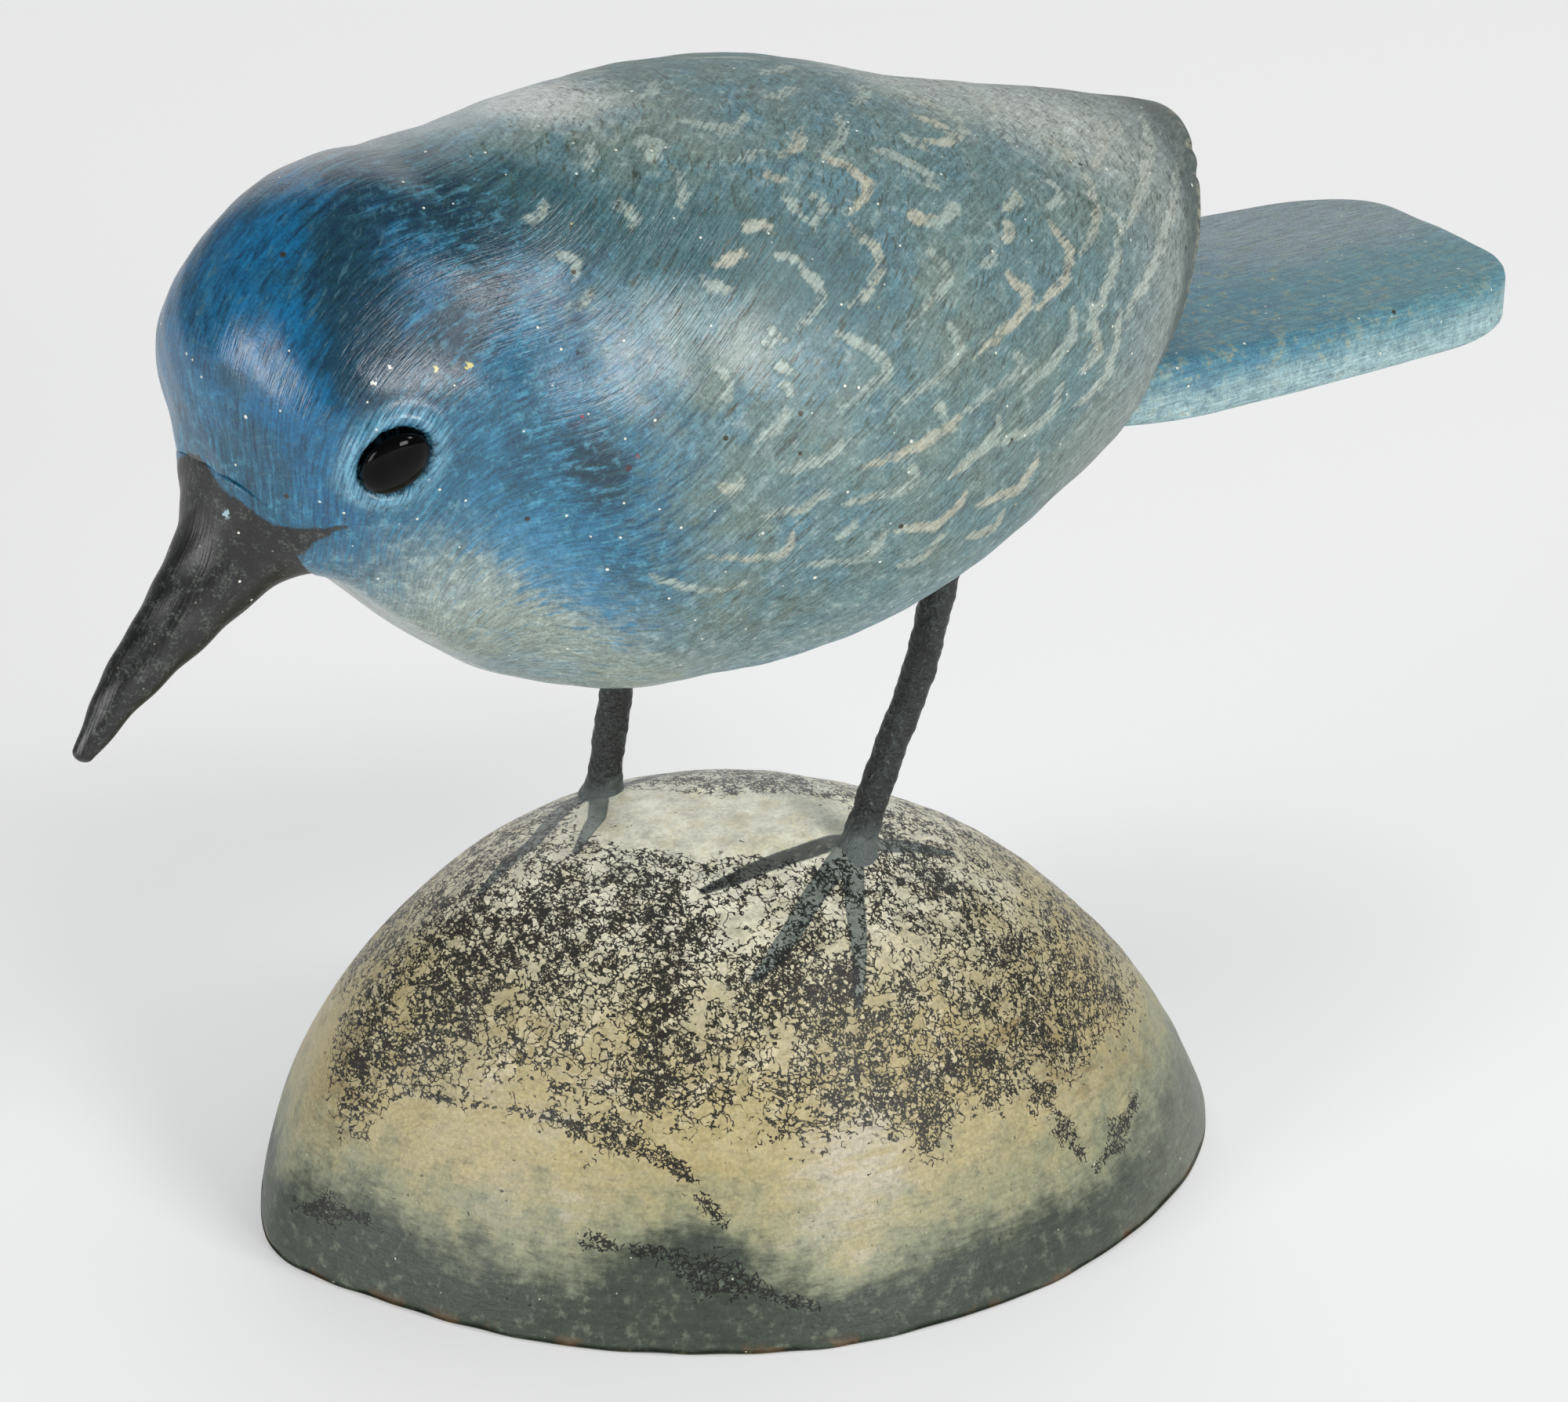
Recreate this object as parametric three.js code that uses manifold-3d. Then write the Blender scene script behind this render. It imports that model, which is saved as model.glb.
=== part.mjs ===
// A small carved and painted jay standing on a domed mound, in millimetres, +Z up.
// The bird faces -X, its left side is -Y, and the origin is the middle of the mound's flat underside.
import * as THREE from 'three';
import { mergeVertices } from 'three/addons/utils/BufferGeometryUtils.js';
import Module from 'manifold-3d';

const wasm = await Module();
wasm.setup();

// driving dimensions
const FIT_GAP = 0.3;
const WIRE_RADIUS = 1.05;
const WIRE_DEPTH = 3.5;
const EYE_RADIUS = 2.0;
const EYE_DOME = 0.8;
const EYE_SHANK = 1.5;
const TAIL_MIDDLE_X = 39.3;
const TAIL_HALF_LENGTH = 20.8;
const TAIL_HALF_WIDTH = 11.1;
const TAIL_THICKNESS = 4.2;
const TAIL_TOP_Z = 51.4;
const TAIL_DROOP_DEG = 1.75;
const TAIL_SKEW = 0.21;
const MOUND_HEIGHT = 24.7;
const MOUND_HALF_LENGTH = 30.9;
const MOUND_HALF_WIDTH = 24.4;
const MOUND_TURN_DEG = -24;
const MOUND_CENTRE = [1.3, 1.5];
const MOUND_CORNER = [0.045, 3.44, 0.22];

// One carved section per row, from the rear edge of the wings to the face:
// x, z of the section's centre, lean of its plane in degrees, half width, height above, height below,
// squareness of the outline, and how much narrower the section is at its top than at its foot.
const BODY_SECTIONS = [
  [25.9, 54.9, 39, 10.7, 11.5, 13.2, 2.1, 0.3],
  [19.0, 53.2, 23.5, 14.5, 14.0, 12.9, 2.0, 0],
  [10.2, 54.2, 17.5, 16.9, 14.7, 16.3, 2.25, 0],
  [0.6, 54.7, 10, 18.4, 17.1, 17.6, 2.1, 0],
  [-7.6, 54.4, -3, 16.5, 18.2, 17.4, 2.0, 0],
  [-15.5, 54.0, -12, 13.6, 18.3, 16.9, 2.0, 0.1],
  [-22.1, 52.8, -22, 10.4, 19.3, 15.2, 2.0, -0.2],
  [-27.0, 51.0, -34, 8.8, 15.8, 12.4, 2.0, -0.3],
  [-29.8, 49.9, -44, 5.7, 7.8, 8.6, 2.0, -0.05],
  [-32.4, 51.9, -50, 2.9, 2.9, 3.0, 2.0, 0],
];
// the bill, from its root inside the face to its blunt tip
const BILL_SECTIONS = [
  [-31.7, 53.4, -50, 5.2, 5.2, 5.2, 2.0, 0],
  [-34.7, 50.7, -51, 3.0, 3.0, 3.1, 2.0, 0],
  [-38.2, 47.6, -52, 2.0, 2.0, 2.1, 2.0, 0],
  [-41.6, 44.6, -53, 1.3, 1.3, 1.3, 2.0, 0],
  [-44.0, 41.8, -54, 0.6, 0.6, 0.6, 2.0, 0],
];
// the short wedge of vent feathers that carries the tail from below
const VENT_SECTIONS = [
  [14.0, 48.2, 4, 8.0, 1.5, 3.6, 2.0, 0],
  [22.0, 47.9, 4, 6.8, 1.5, 2.4, 2.0, 0],
  [28.0, 47.5, 4, 4.5, 1.5, 1.3, 2.0, 0],
  [34.0, 47.2, 4, 1.5, 1.5, 0.5, 2.0, 0],
];
// wire legs: foot on the mound, two points up the shank, and where the wire enters the belly
const LEGS = {
  leg_left: [[3.9, -6.6, 23.2], [6.5, -6.6, 29.2], [8.6, -6.8, 34.0], [9.9, -7.1, 39.2]],
  leg_right: [[-4.3, 8.3, 24.1], [-3.5, 8.3, 28.6], [-2.6, 8.2, 33.4], [-1.5, 8.2, 38.8]],
};
const EYE_CENTRE = [-29.7, 9.8, 58.1];
const EYE_NORMAL = [-0.22, 0.93, -0.28];

// Catmull-Rom through the values, with each end tangent taken by reflection
function catmull(values, t) {
  const last = values.length - 1;
  const s = Math.min(Math.max(t, 0), 1) * last;
  const i = Math.min(Math.floor(s), last - 1);
  const f = s - i;
  const at = (k) => {
    if (k < 0) return 2 * values[0] - values[1];
    if (k > last) return 2 * values[last] - values[last - 1];
    return values[k];
  };
  const [a, b, c, d] = [at(i - 1), at(i), at(i + 1), at(i + 2)];
  return 0.5 * (2 * b + (c - a) * f + (2 * a - 5 * b + 4 * c - d) * f * f + (3 * b - a - 3 * c + d) * f ** 3);
}

const signedPower = (v, p) => Math.sign(v) * Math.abs(v) ** p;

// The head swells at the crown and draws in at the cheek below the eye.
function headFullness(x, z) {
  const crown = Math.exp(-(((x + 28.3) / 6) ** 2) - ((z - 61.2) / 5) ** 2);
  const cheek = Math.exp(-(((x + 28.3) / 7) ** 2) - ((z - 51.1) / 4) ** 2);
  return 1 + 0.08 * crown - 0.1 * cheek;
}

// A ring of points round one section; grow scales it and back moves it along the section's rear normal.
function sectionRing(sections, t, count, fullness, grow = 1, back = 0) {
  const value = (k) => catmull(sections.map((row) => row[k]), t);
  const [x, z, lean, w, up, down, power, egg] = [0, 1, 2, 3, 4, 5, 6, 7].map(value);
  const a = THREE.MathUtils.degToRad(lean);
  const ring = [];
  for (let j = 0; j < count; j++) {
    const angle = (2 * Math.PI * j) / count;
    const c = signedPower(Math.cos(angle), 2 / power);
    const s = signedPower(Math.sin(angle), 2 / power);
    const h = grow * (s > 0 ? up : down) * s;
    const px = x + h * Math.sin(a) + back * Math.cos(a);
    const pz = z + h * Math.cos(a) - back * Math.sin(a);
    ring.push(new THREE.Vector3(px, grow * w * c * (1 - egg * s) * fullness(px, pz), pz));
  }
  return ring;
}

// A closed solid from a stack of rings, each end closed by a fan to the ring's middle.
function stack(rings) {
  const n = rings[0].length;
  const position = [];
  const index = [];
  for (const ring of rings) for (const p of ring) position.push(p.x, p.y, p.z);
  for (let i = 0; i + 1 < rings.length; i++) {
    for (let j = 0; j < n; j++) {
      const a = i * n + j;
      const b = i * n + ((j + 1) % n);
      index.push(a, b, b + n, a, b + n, a + n);
    }
  }
  for (const [row, flip] of [[0, true], [rings.length - 1, false]]) {
    const middle = new THREE.Vector3();
    for (const p of rings[row]) middle.addScaledVector(p, 1 / n);
    const m = position.length / 3;
    position.push(middle.x, middle.y, middle.z);
    for (let j = 0; j < n; j++) {
      const a = row * n + j;
      const b = row * n + ((j + 1) % n);
      index.push(...(flip ? [m, b, a] : [m, a, b]));
    }
  }
  const g = new THREE.BufferGeometry();
  g.setAttribute('position', new THREE.Float32BufferAttribute(position, 3));
  g.setIndex(index);
  return solid(g);
}

// triangles to a manifold solid, turned right side out when its volume comes out negative
function solid(geometry) {
  const g = geometry.clone();
  g.deleteAttribute('normal');
  g.deleteAttribute('uv');
  const merged = mergeVertices(g, 1e-5);
  const make = (tri) => new wasm.Manifold(new wasm.Mesh({
    numProp: 3,
    vertProperties: new Float32Array(merged.attributes.position.array),
    triVerts: tri,
  }));
  const tri = new Uint32Array(merged.index.array);
  const first = make(tri);
  if (first.volume() > 0) return first;
  return make(tri.map((_, k) => tri[k - (k % 3) + 2 - (k % 3)]));
}

function loft(sections, along, count, fullness = () => 1) {
  const rings = [];
  for (let i = 0; i < along; i++) rings.push(sectionRing(sections, i / (along - 1), count, fullness));
  return rings;
}

// Body: rounded rear edge and dished rear face, then the carved sections forward to the face.
function bodyRings() {
  const count = 40;
  const rear = [[0.3, -1.0], [0.7, -0.6], [0.9, 0.05], [0.97, 0.25]];
  const rings = rear.map(([grow, back]) => sectionRing(BODY_SECTIONS, 0, count, headFullness, grow, back));
  return [...rings, ...loft(BODY_SECTIONS, 38, count, headFullness)];
}

// Tail paddle: a squarish plan outline, its far corner a little longer, stacked with softened edges.
function tailRings() {
  const rings = [];
  const count = 52;
  const edges = [[1.3, 0], [0.4, 0.15], [0, 0.8], [0, TAIL_THICKNESS - 0.9], [0.4, TAIL_THICKNESS - 0.25],
    [1.2, TAIL_THICKNESS]];
  const root = TAIL_MIDDLE_X - 8;
  const droop = Math.tan(THREE.MathUtils.degToRad(TAIL_DROOP_DEG));
  for (const [inset, rise] of edges) {
    const ring = [];
    for (let j = 0; j < count; j++) {
      const angle = (2 * Math.PI * j) / count;
      const straight = TAIL_MIDDLE_X + (TAIL_HALF_LENGTH - inset) * signedPower(Math.cos(angle), 2 / 4.3);
      const y = (TAIL_HALF_WIDTH - inset) * signedPower(Math.sin(angle), 2 / 4.3);
      const x = straight + TAIL_SKEW * y * Math.min(Math.max((straight - root - 10) / 20, 0), 1) ** 2;
      ring.push(new THREE.Vector3(x, y, TAIL_TOP_Z - droop * (x - root) - TAIL_THICKNESS + rise));
    }
    rings.push(ring);
  }
  return rings;
}

// Mound: an oval plan turned a little under the bird, with a slight corner at the bird's near front,
// drawn in toward the top and fuller on one side.
function moundPoint(angle, rise) {
  const [swell, corner, spread] = MOUND_CORNER;
  const plan = 1 + swell * Math.exp(-(((angle - corner) / spread) ** 2));
  const c = signedPower(Math.cos(angle), 2 / 1.86) * MOUND_HALF_LENGTH * plan;
  const s = signedPower(Math.sin(angle), 2 / 1.86) * MOUND_HALF_WIDTH * plan;
  const turn = THREE.MathUtils.degToRad(MOUND_TURN_DEG);
  const power = 2.41 - 0.3 * Math.cos(angle) - 0.46 * Math.sin(angle);
  const r = Math.max(Math.cos(rise), 0) ** (2 / power);
  const lift = Math.sin(rise) ** (2 / 1.35);
  const x = MOUND_CENTRE[0] + (c * Math.cos(turn) - s * Math.sin(turn)) * r - 0.1 * lift;
  const y = MOUND_CENTRE[1] + (c * Math.sin(turn) + s * Math.cos(turn)) * r + lift;
  return new THREE.Vector3(x, y, MOUND_HEIGHT * lift);
}

function moundRings() {
  const rings = [];
  const count = 56;
  const steps = 16;
  for (let i = 0; i <= steps; i++) {
    const rise = (Math.PI / 2) * Math.min(i / steps, 0.985);
    const ring = [];
    for (let j = 0; j < count; j++) ring.push(moundPoint((2 * Math.PI * j) / count, rise));
    rings.push(ring);
  }
  return rings;
}

// Wire: level rings along a smooth path between two heights.
function wireRings(points, radius, low, high) {
  const path = new THREE.CatmullRomCurve3(points.map((p) => new THREE.Vector3(...p)));
  const count = 14;
  const steps = 9;
  const rings = [];
  const foot = path.getPoint(0);
  const head = path.getPoint(1);
  const footSlope = path.getTangent(0);
  const headSlope = path.getTangent(1);
  for (let i = 0; i <= steps; i++) {
    const z = low + ((high - low) * i) / steps;
    let c;
    if (z <= foot.z) c = foot.clone().addScaledVector(footSlope, (z - foot.z) / footSlope.z);
    else if (z >= head.z) c = head.clone().addScaledVector(headSlope, (z - head.z) / headSlope.z);
    else {
      let [a, b] = [0, 1];
      for (let k = 0; k < 30; k++) {
        const m = (a + b) / 2;
        if (path.getPoint(m).z < z) a = m;
        else b = m;
      }
      c = path.getPoint(a);
    }
    const ring = [];
    for (let j = 0; j < count; j++) {
      const angle = (2 * Math.PI * j) / count;
      ring.push(new THREE.Vector3(c.x + radius * Math.cos(angle), c.y + radius * Math.sin(angle), z));
    }
    rings.push(ring);
  }
  return rings;
}

// a turned shape standing on the eye's axis, on either side of the head
function onEyeAxis(geometry, side) {
  const normal = new THREE.Vector3(EYE_NORMAL[0], side * EYE_NORMAL[1], EYE_NORMAL[2]).normalize();
  const turn = new THREE.Quaternion().setFromUnitVectors(new THREE.Vector3(0, 1, 0), normal);
  geometry.applyQuaternion(turn);
  geometry.translate(EYE_CENTRE[0], side * EYE_CENTRE[1], EYE_CENTRE[2]);
  return solid(geometry);
}

function eyeButton(side) {
  const profile = [[0, -EYE_SHANK], [EYE_RADIUS - 0.3, -EYE_SHANK], [EYE_RADIUS - 0.3, -0.25], [EYE_RADIUS, -0.1]];
  for (let i = 0; i <= 5; i++) {
    const a = (Math.PI / 2) * (i / 5);
    profile.push([i === 5 ? 0 : EYE_RADIUS * Math.cos(a), EYE_DOME * Math.sin(a)]);
  }
  return onEyeAxis(new THREE.LatheGeometry(profile.map(([r, h]) => new THREE.Vector2(r, h)), 18), side);
}

function eyeSocket(side) {
  const depth = EYE_SHANK + FIT_GAP;
  const socket = new THREE.CylinderGeometry(EYE_RADIUS + FIT_GAP, EYE_RADIUS + FIT_GAP, depth + 3, 18);
  socket.translate(0, 3 - (depth + 3) / 2, 0);
  return onEyeAxis(socket, side);
}

function legBore(points, atHead) {
  const foot = points[0][2];
  const head = points[points.length - 1][2];
  const low = atHead ? head - 6 : foot - WIRE_DEPTH - FIT_GAP;
  const high = atHead ? head + WIRE_DEPTH + FIT_GAP : foot + 6;
  return stack(wireRings(points, WIRE_RADIUS + FIT_GAP, low, high));
}

function part(name, shape, color, roughness, metalness = 0) {
  const out = shape.getMesh();
  const g = new THREE.BufferGeometry();
  g.setAttribute('position', new THREE.Float32BufferAttribute(out.vertProperties, 3));
  g.setIndex(Array.from(out.triVerts));
  const mesh = new THREE.Mesh(g, new THREE.MeshStandardMaterial({ color, roughness, metalness }));
  mesh.name = name;
  return mesh;
}

let bird = stack(bodyRings());
bird = bird.add(stack(loft(BILL_SECTIONS, 12, 24)));
bird = bird.add(stack(tailRings()));
bird = bird.add(stack(loft(VENT_SECTIONS, 9, 20)));
let mound = stack(moundRings());
for (const side of [-1, 1]) bird = bird.subtract(eyeSocket(side));
for (const points of Object.values(LEGS)) {
  bird = bird.subtract(legBore(points, true));
  mound = mound.subtract(legBore(points, false));
}

const group = new THREE.Group();
group.name = 'jay_carving';
group.add(part('carved_bird', bird, 0x5f8fa8, 0.6));
group.add(part('eye_left', eyeButton(-1), 0x0a0a0a, 0.08));
group.add(part('eye_right', eyeButton(1), 0x0a0a0a, 0.08));
for (const [name, points] of Object.entries(LEGS)) {
  const low = points[0][2] - WIRE_DEPTH;
  const high = points[points.length - 1][2] + WIRE_DEPTH;
  group.add(part(name, stack(wireRings(points, WIRE_RADIUS, low, high)), 0x23282a, 0.6));
}
group.add(part('domed_mound', mound, 0xc8bb98, 0.65));

export default group;
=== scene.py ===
# A small carved and painted jay on a domed mound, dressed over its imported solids.
import math

import bpy
import numpy as np
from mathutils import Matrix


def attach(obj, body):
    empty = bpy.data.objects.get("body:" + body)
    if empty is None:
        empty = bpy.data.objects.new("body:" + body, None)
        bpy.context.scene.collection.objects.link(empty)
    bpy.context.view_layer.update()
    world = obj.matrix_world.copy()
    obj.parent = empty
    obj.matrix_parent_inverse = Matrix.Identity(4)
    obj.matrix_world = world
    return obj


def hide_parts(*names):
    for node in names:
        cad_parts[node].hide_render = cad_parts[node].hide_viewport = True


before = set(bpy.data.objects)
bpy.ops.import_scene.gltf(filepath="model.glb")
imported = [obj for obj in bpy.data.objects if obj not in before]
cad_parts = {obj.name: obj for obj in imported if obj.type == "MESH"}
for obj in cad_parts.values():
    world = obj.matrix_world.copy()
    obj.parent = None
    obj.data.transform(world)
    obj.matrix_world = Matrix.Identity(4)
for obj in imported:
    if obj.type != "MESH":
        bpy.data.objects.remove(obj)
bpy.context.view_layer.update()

# The bird: one piece of fine-grained wood, carved to a plump body with folded wings, a head bent
# down, a stout bill and a flat tail, sanded smooth and brushed with thin oil paint.
# It stands on two wires glued into its belly.
MM = 0.001
# Rings of the carving, in millimetres and degrees: x and z of the middle, lean, half width, height
# above and below the middle, power of the superellipse, how far its top is narrowed.
WING_EDGE_TO_FACE = [
    [25.9, 54.9, 39, 10.7, 11.5, 13.2, 2.1, 0.3],
    [19.0, 53.2, 23.5, 14.5, 14.0, 12.9, 2.0, 0],
    [10.2, 54.2, 17.5, 16.9, 14.7, 16.3, 2.25, 0],
    [0.6, 54.7, 10, 18.4, 17.1, 17.6, 2.1, 0],
    [-7.6, 54.4, -3, 16.5, 18.2, 17.4, 2.0, 0],
    [-15.5, 54.0, -12, 13.6, 18.3, 16.9, 2.0, 0.1],
    [-22.1, 52.8, -22, 10.4, 19.3, 15.2, 2.0, -0.2],
    [-27.0, 51.0, -34, 8.8, 15.8, 12.4, 2.0, -0.3],
    [-29.8, 49.9, -44, 5.7, 7.8, 8.6, 2.0, -0.05],
    [-32.4, 51.9, -50, 2.9, 2.9, 3.0, 2.0, 0],
]
BILL_ROOT_TO_TIP = [
    [-31.7, 53.4, -50, 5.2, 5.2, 5.2, 2.0, 0],
    [-34.7, 50.7, -51, 3.0, 3.0, 3.1, 2.0, 0],
    [-38.2, 47.6, -52, 2.0, 2.0, 2.1, 2.0, 0],
    [-41.6, 44.6, -53, 1.3, 1.3, 1.3, 2.0, 0],
    [-44.0, 41.8, -54, 0.6, 0.6, 0.6, 2.0, 0],
]
VENT_TO_TAIL = [
    [14.0, 48.2, 4, 8.0, 1.5, 3.6, 2.0, 0],
    [22.0, 47.9, 4, 6.8, 1.5, 2.4, 2.0, 0],
    [28.0, 47.5, 4, 4.5, 1.5, 1.3, 2.0, 0],
    [34.0, 47.2, 4, 1.5, 1.5, 0.5, 2.0, 0],
]
# The right eye, mirrored for the left: the middle of its glass, the way it looks, its longer axis.
EYE_MIDDLE = np.array([-29.7, 9.8, 58.1])
EYE_LOOKS = np.array([-0.22, 0.93, -0.28])
EYE_SLOPE = np.array([-0.68, -0.29, -0.67])
EYE_LONG = 1.2
EYE_RADIUS = 1.7


def through(rows, t):
    """Catmull-Rom through the rows, each end tangent reflected: one row of values for every t, 0 to 1."""
    rows = np.asarray(rows, float)
    held = np.vstack([2 * rows[0] - rows[1], rows, 2 * rows[-1] - rows[-2]])
    s = np.clip(np.asarray(t, float), 0, 1) * (len(rows) - 1)
    i = np.minimum(s.astype(int), len(rows) - 2)
    f = (s - i)[:, None]
    a, b, c, d = held[i], held[i + 1], held[i + 2], held[i + 3]
    return 0.5 * (2 * b + (c - a) * f + (2 * a - 5 * b + 4 * c - d) * f**2 + (3 * b - a - 3 * c + d) * f**3)


def rounded(turn, power):
    """A superellipse of half axes 1: the cosine and the sine of the turn, each to the power of 2 / power
    with its sign kept."""
    c, s = np.cos(turn), np.sin(turn)
    return np.sign(c) * np.abs(c) ** (2 / power), np.sign(s) * np.abs(s) ** (2 / power)


def carved_skin(rows, t, turn, grow=1.0, back=0.0):
    """Rings of a carving: a superellipse of each section's half width, height above and height below,
    narrowed toward its top by the egg factor, leaned in the bird's middle plane. grow scales a ring and
    back moves it along the section's rear normal. Returns points (along, around, xyz) in millimetres."""
    x, z, lean, wide, up, down, power, egg = through(rows, t).T[:, :, None]
    grow, back = np.reshape(grow, (-1, 1)), np.reshape(back, (-1, 1))
    c, s = rounded(turn, power)
    lean = np.radians(lean)
    h = grow * np.where(s > 0, up, down) * s
    px = x + h * np.sin(lean) + back * np.cos(lean)
    pz = z + h * np.cos(lean) - back * np.sin(lean)
    return np.stack([px, grow * wide * c * (1 - egg * s), pz], -1)


def hill(*terms):
    """A soft hill of height 1: e to the power of minus the sum of the terms' squares."""
    return np.exp(-sum(term**2 for term in terms))


def spot(p, middle, reach):
    """A soft hill round a point, 1 at its middle and 0.37 at its reach."""
    return np.exp(-(((p - middle) ** 2).sum(-1)) / reach**2)


def circle(count):
    """Angles all the way round, evenly spaced."""
    return np.linspace(0, 2 * np.pi, count, endpoint=False)


def crown_and_cheek(p):
    """Width factor of the head: 8% fuller at the crown and 10% thinner at the cheek, each a soft bump."""
    x, z = p[..., 0], p[..., 2]
    full = 1 + 0.08 * hill((x + 28.3) / 6, (z - 61.2) / 5)
    full -= 0.10 * hill((x + 28.3) / 7, (z - 51.1) / 4)
    return p * np.stack([np.ones_like(full), full, np.ones_like(full)], -1)


def outward(grid):
    """Unit normals of a grid closed around its columns: the cross product of its two differences, turned
    away from the middle of its rings."""
    n = np.cross(np.gradient(grid, axis=0), np.roll(grid, -1, 1) - np.roll(grid, 1, 1))
    n /= np.linalg.norm(n, axis=-1, keepdims=True) + 1e-12
    return n * np.sign(((grid - grid.mean(1, keepdims=True)) * n).sum())


def along_line(p, line):
    """Distance of points p from a polyline, and how far along it the nearest point lies, 0 to 1."""
    line = np.asarray(line, float)
    near, place = np.full(p.shape[:-1], 1e9), np.zeros(p.shape[:-1])
    for k, (a, b) in enumerate(zip(line[:-1], line[1:])):
        f = np.clip(((p - a) @ (b - a)) / max((b - a) @ (b - a), 1e-9), 0, 1)
        d = np.linalg.norm(p - a - f[..., None] * (b - a), axis=-1)
        place = np.where(d < near, (k + f) / (len(line) - 1), place)
        near = np.minimum(near, d)
    return near, place


def soft(x, low, high):
    """Smooth step from 0 at low to 1 at high."""
    f = np.clip((x - low) / (high - low), 0, 1)
    return f * f * (3 - 2 * f)


def one_mesh(name, grids):
    """Joins closed grids, each with its painted marks, into one mesh: quads between rings, a fan of
    triangles to a pole at each end, turned so that the enclosed volume is positive. Grids are in
    millimetres, the mesh in metres. Each mark becomes a number on every point."""
    points, corners, sizes, marks, base = [], [], [], {}, 0
    for g, painted in grids:
        rows, cols = g.shape[:2]
        flat = np.vstack([g.reshape(-1, 3), g[0].mean(0), g[-1].mean(0)])
        i, j = np.meshgrid(np.arange(rows - 1), np.arange(cols), indexing="ij")
        k = (j + 1) % cols
        here, after = i * cols, (i + 1) * cols
        quad = np.stack([here + j, here + k, after + k, after + j], -1).reshape(-1, 4)
        a = np.arange(cols)
        b = (a + 1) % cols
        last = (rows - 1) * cols
        front = np.stack([np.full(cols, rows * cols), b, a], -1)
        end = np.stack([np.full(cols, rows * cols + 1), last + a, last + b], -1)
        tri = np.vstack([front, end])
        both = np.vstack([quad[:, [0, 1, 2]], quad[:, [0, 2, 3]], tri])
        volume = (flat[both[:, 0]] * np.cross(flat[both[:, 1]], flat[both[:, 2]])).sum()
        if volume < 0:
            quad, tri = quad[:, ::-1], tri[:, ::-1]
        points.append(flat)
        corners += [quad.ravel() + base, tri.ravel() + base]
        sizes += [np.full(len(quad), 4), np.full(len(tri), 3)]
        for key, value in painted.items():
            value = np.broadcast_to(value, (rows, cols))
            poles = [value[0].mean(), value[-1].mean()]
            marks.setdefault(key, []).append(np.concatenate([value.ravel(), poles]))
        base += len(flat)
    points, corners, sizes = np.vstack(points), np.concatenate(corners), np.concatenate(sizes)
    mesh = bpy.data.meshes.new(name)
    mesh.vertices.add(len(points))
    mesh.vertices.foreach_set("co", (points * MM).astype(np.float32).ravel())
    mesh.loops.add(len(corners))
    mesh.loops.foreach_set("vertex_index", corners.astype(np.int32))
    mesh.polygons.add(len(sizes))
    mesh.polygons.foreach_set("loop_start", (np.cumsum(sizes) - sizes).astype(np.int32))
    for key, value in marks.items():
        numbers = mesh.attributes.new(key, "FLOAT", "POINT").data
        numbers.foreach_set("value", np.concatenate(value).astype(np.float32))
    mesh.update(calc_edges=True)
    mesh.shade_smooth()
    made = bpy.data.objects.new(name, mesh)
    bpy.context.scene.collection.objects.link(made)
    return made


ACROSS, DISH_ROWS, SKIN_ROWS = 320, 22, 236
LAST_RING = len(WING_EDGE_TO_FACE) - 1
turn = circle(ACROSS)
# the rear face is a shallow hollow: the size of each ring in it, and how far back it lies
HOLLOW_REAR = [[0.0, -1.05], [0.3, -1.0], [0.7, -0.6], [0.9, 0.05], [0.97, 0.25]]
dish = through(HOLLOW_REAR, np.linspace(0.03, 1, DISH_ROWS))
station = np.linspace(0, 1, SKIN_ROWS)
rear_face = carved_skin(WING_EDGE_TO_FACE, np.zeros(DISH_ROWS), turn, dish[:, 0], dish[:, 1])
body = crown_and_cheek(np.concatenate([rear_face, carved_skin(WING_EDGE_TO_FACE, station, turn)]))
# ring numbers run from 0 at the wing edge to the last ring at the face
row = np.concatenate([dish[:, 0] - 1, station * LAST_RING])[:, None]

# distance in millimetres around each ring from the back's ridge, to the left side positive
step = np.linalg.norm(np.roll(body, -1, 1) - body, axis=-1)
run = np.cumsum(np.roll(step, -ACROSS // 4, 1), 1)
full = run[:, -1:]
run = np.roll(np.concatenate([0 * full, run[:, :-1]], 1), ACROSS // 4, 1)
girth = np.where(run > full / 2, run - full, run)
# distance in millimetres forward from the wing edge
forward = np.cumsum(np.linalg.norm(np.diff(body, axis=0, prepend=body[:1]), axis=-1), 0)
forward -= forward[DISH_ROWS]


def on_skin(t, w):
    """Points of the body at ring t and w millimetres from the ridge, read off the two nearest rows."""
    i = DISH_ROWS + np.clip(t, 0, LAST_RING) / LAST_RING * (SKIN_ROWS - 1)
    low = np.minimum(i.astype(int), DISH_ROWS + SKIN_ROWS - 2)
    found = []
    for k in (low, low + 1):
        order = np.argsort(girth[k], axis=1)
        far = np.take_along_axis(girth[k], order, 1)
        ring = np.take_along_axis(body[k], order[..., None], 1)
        found.append(np.stack([[np.interp(w[m], far[m], ring[m, :, c]) for c in range(3)]
                               for m in range(len(t))]))
    return found[0] + (found[1] - found[0]) * (i - low)[:, None]


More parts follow.
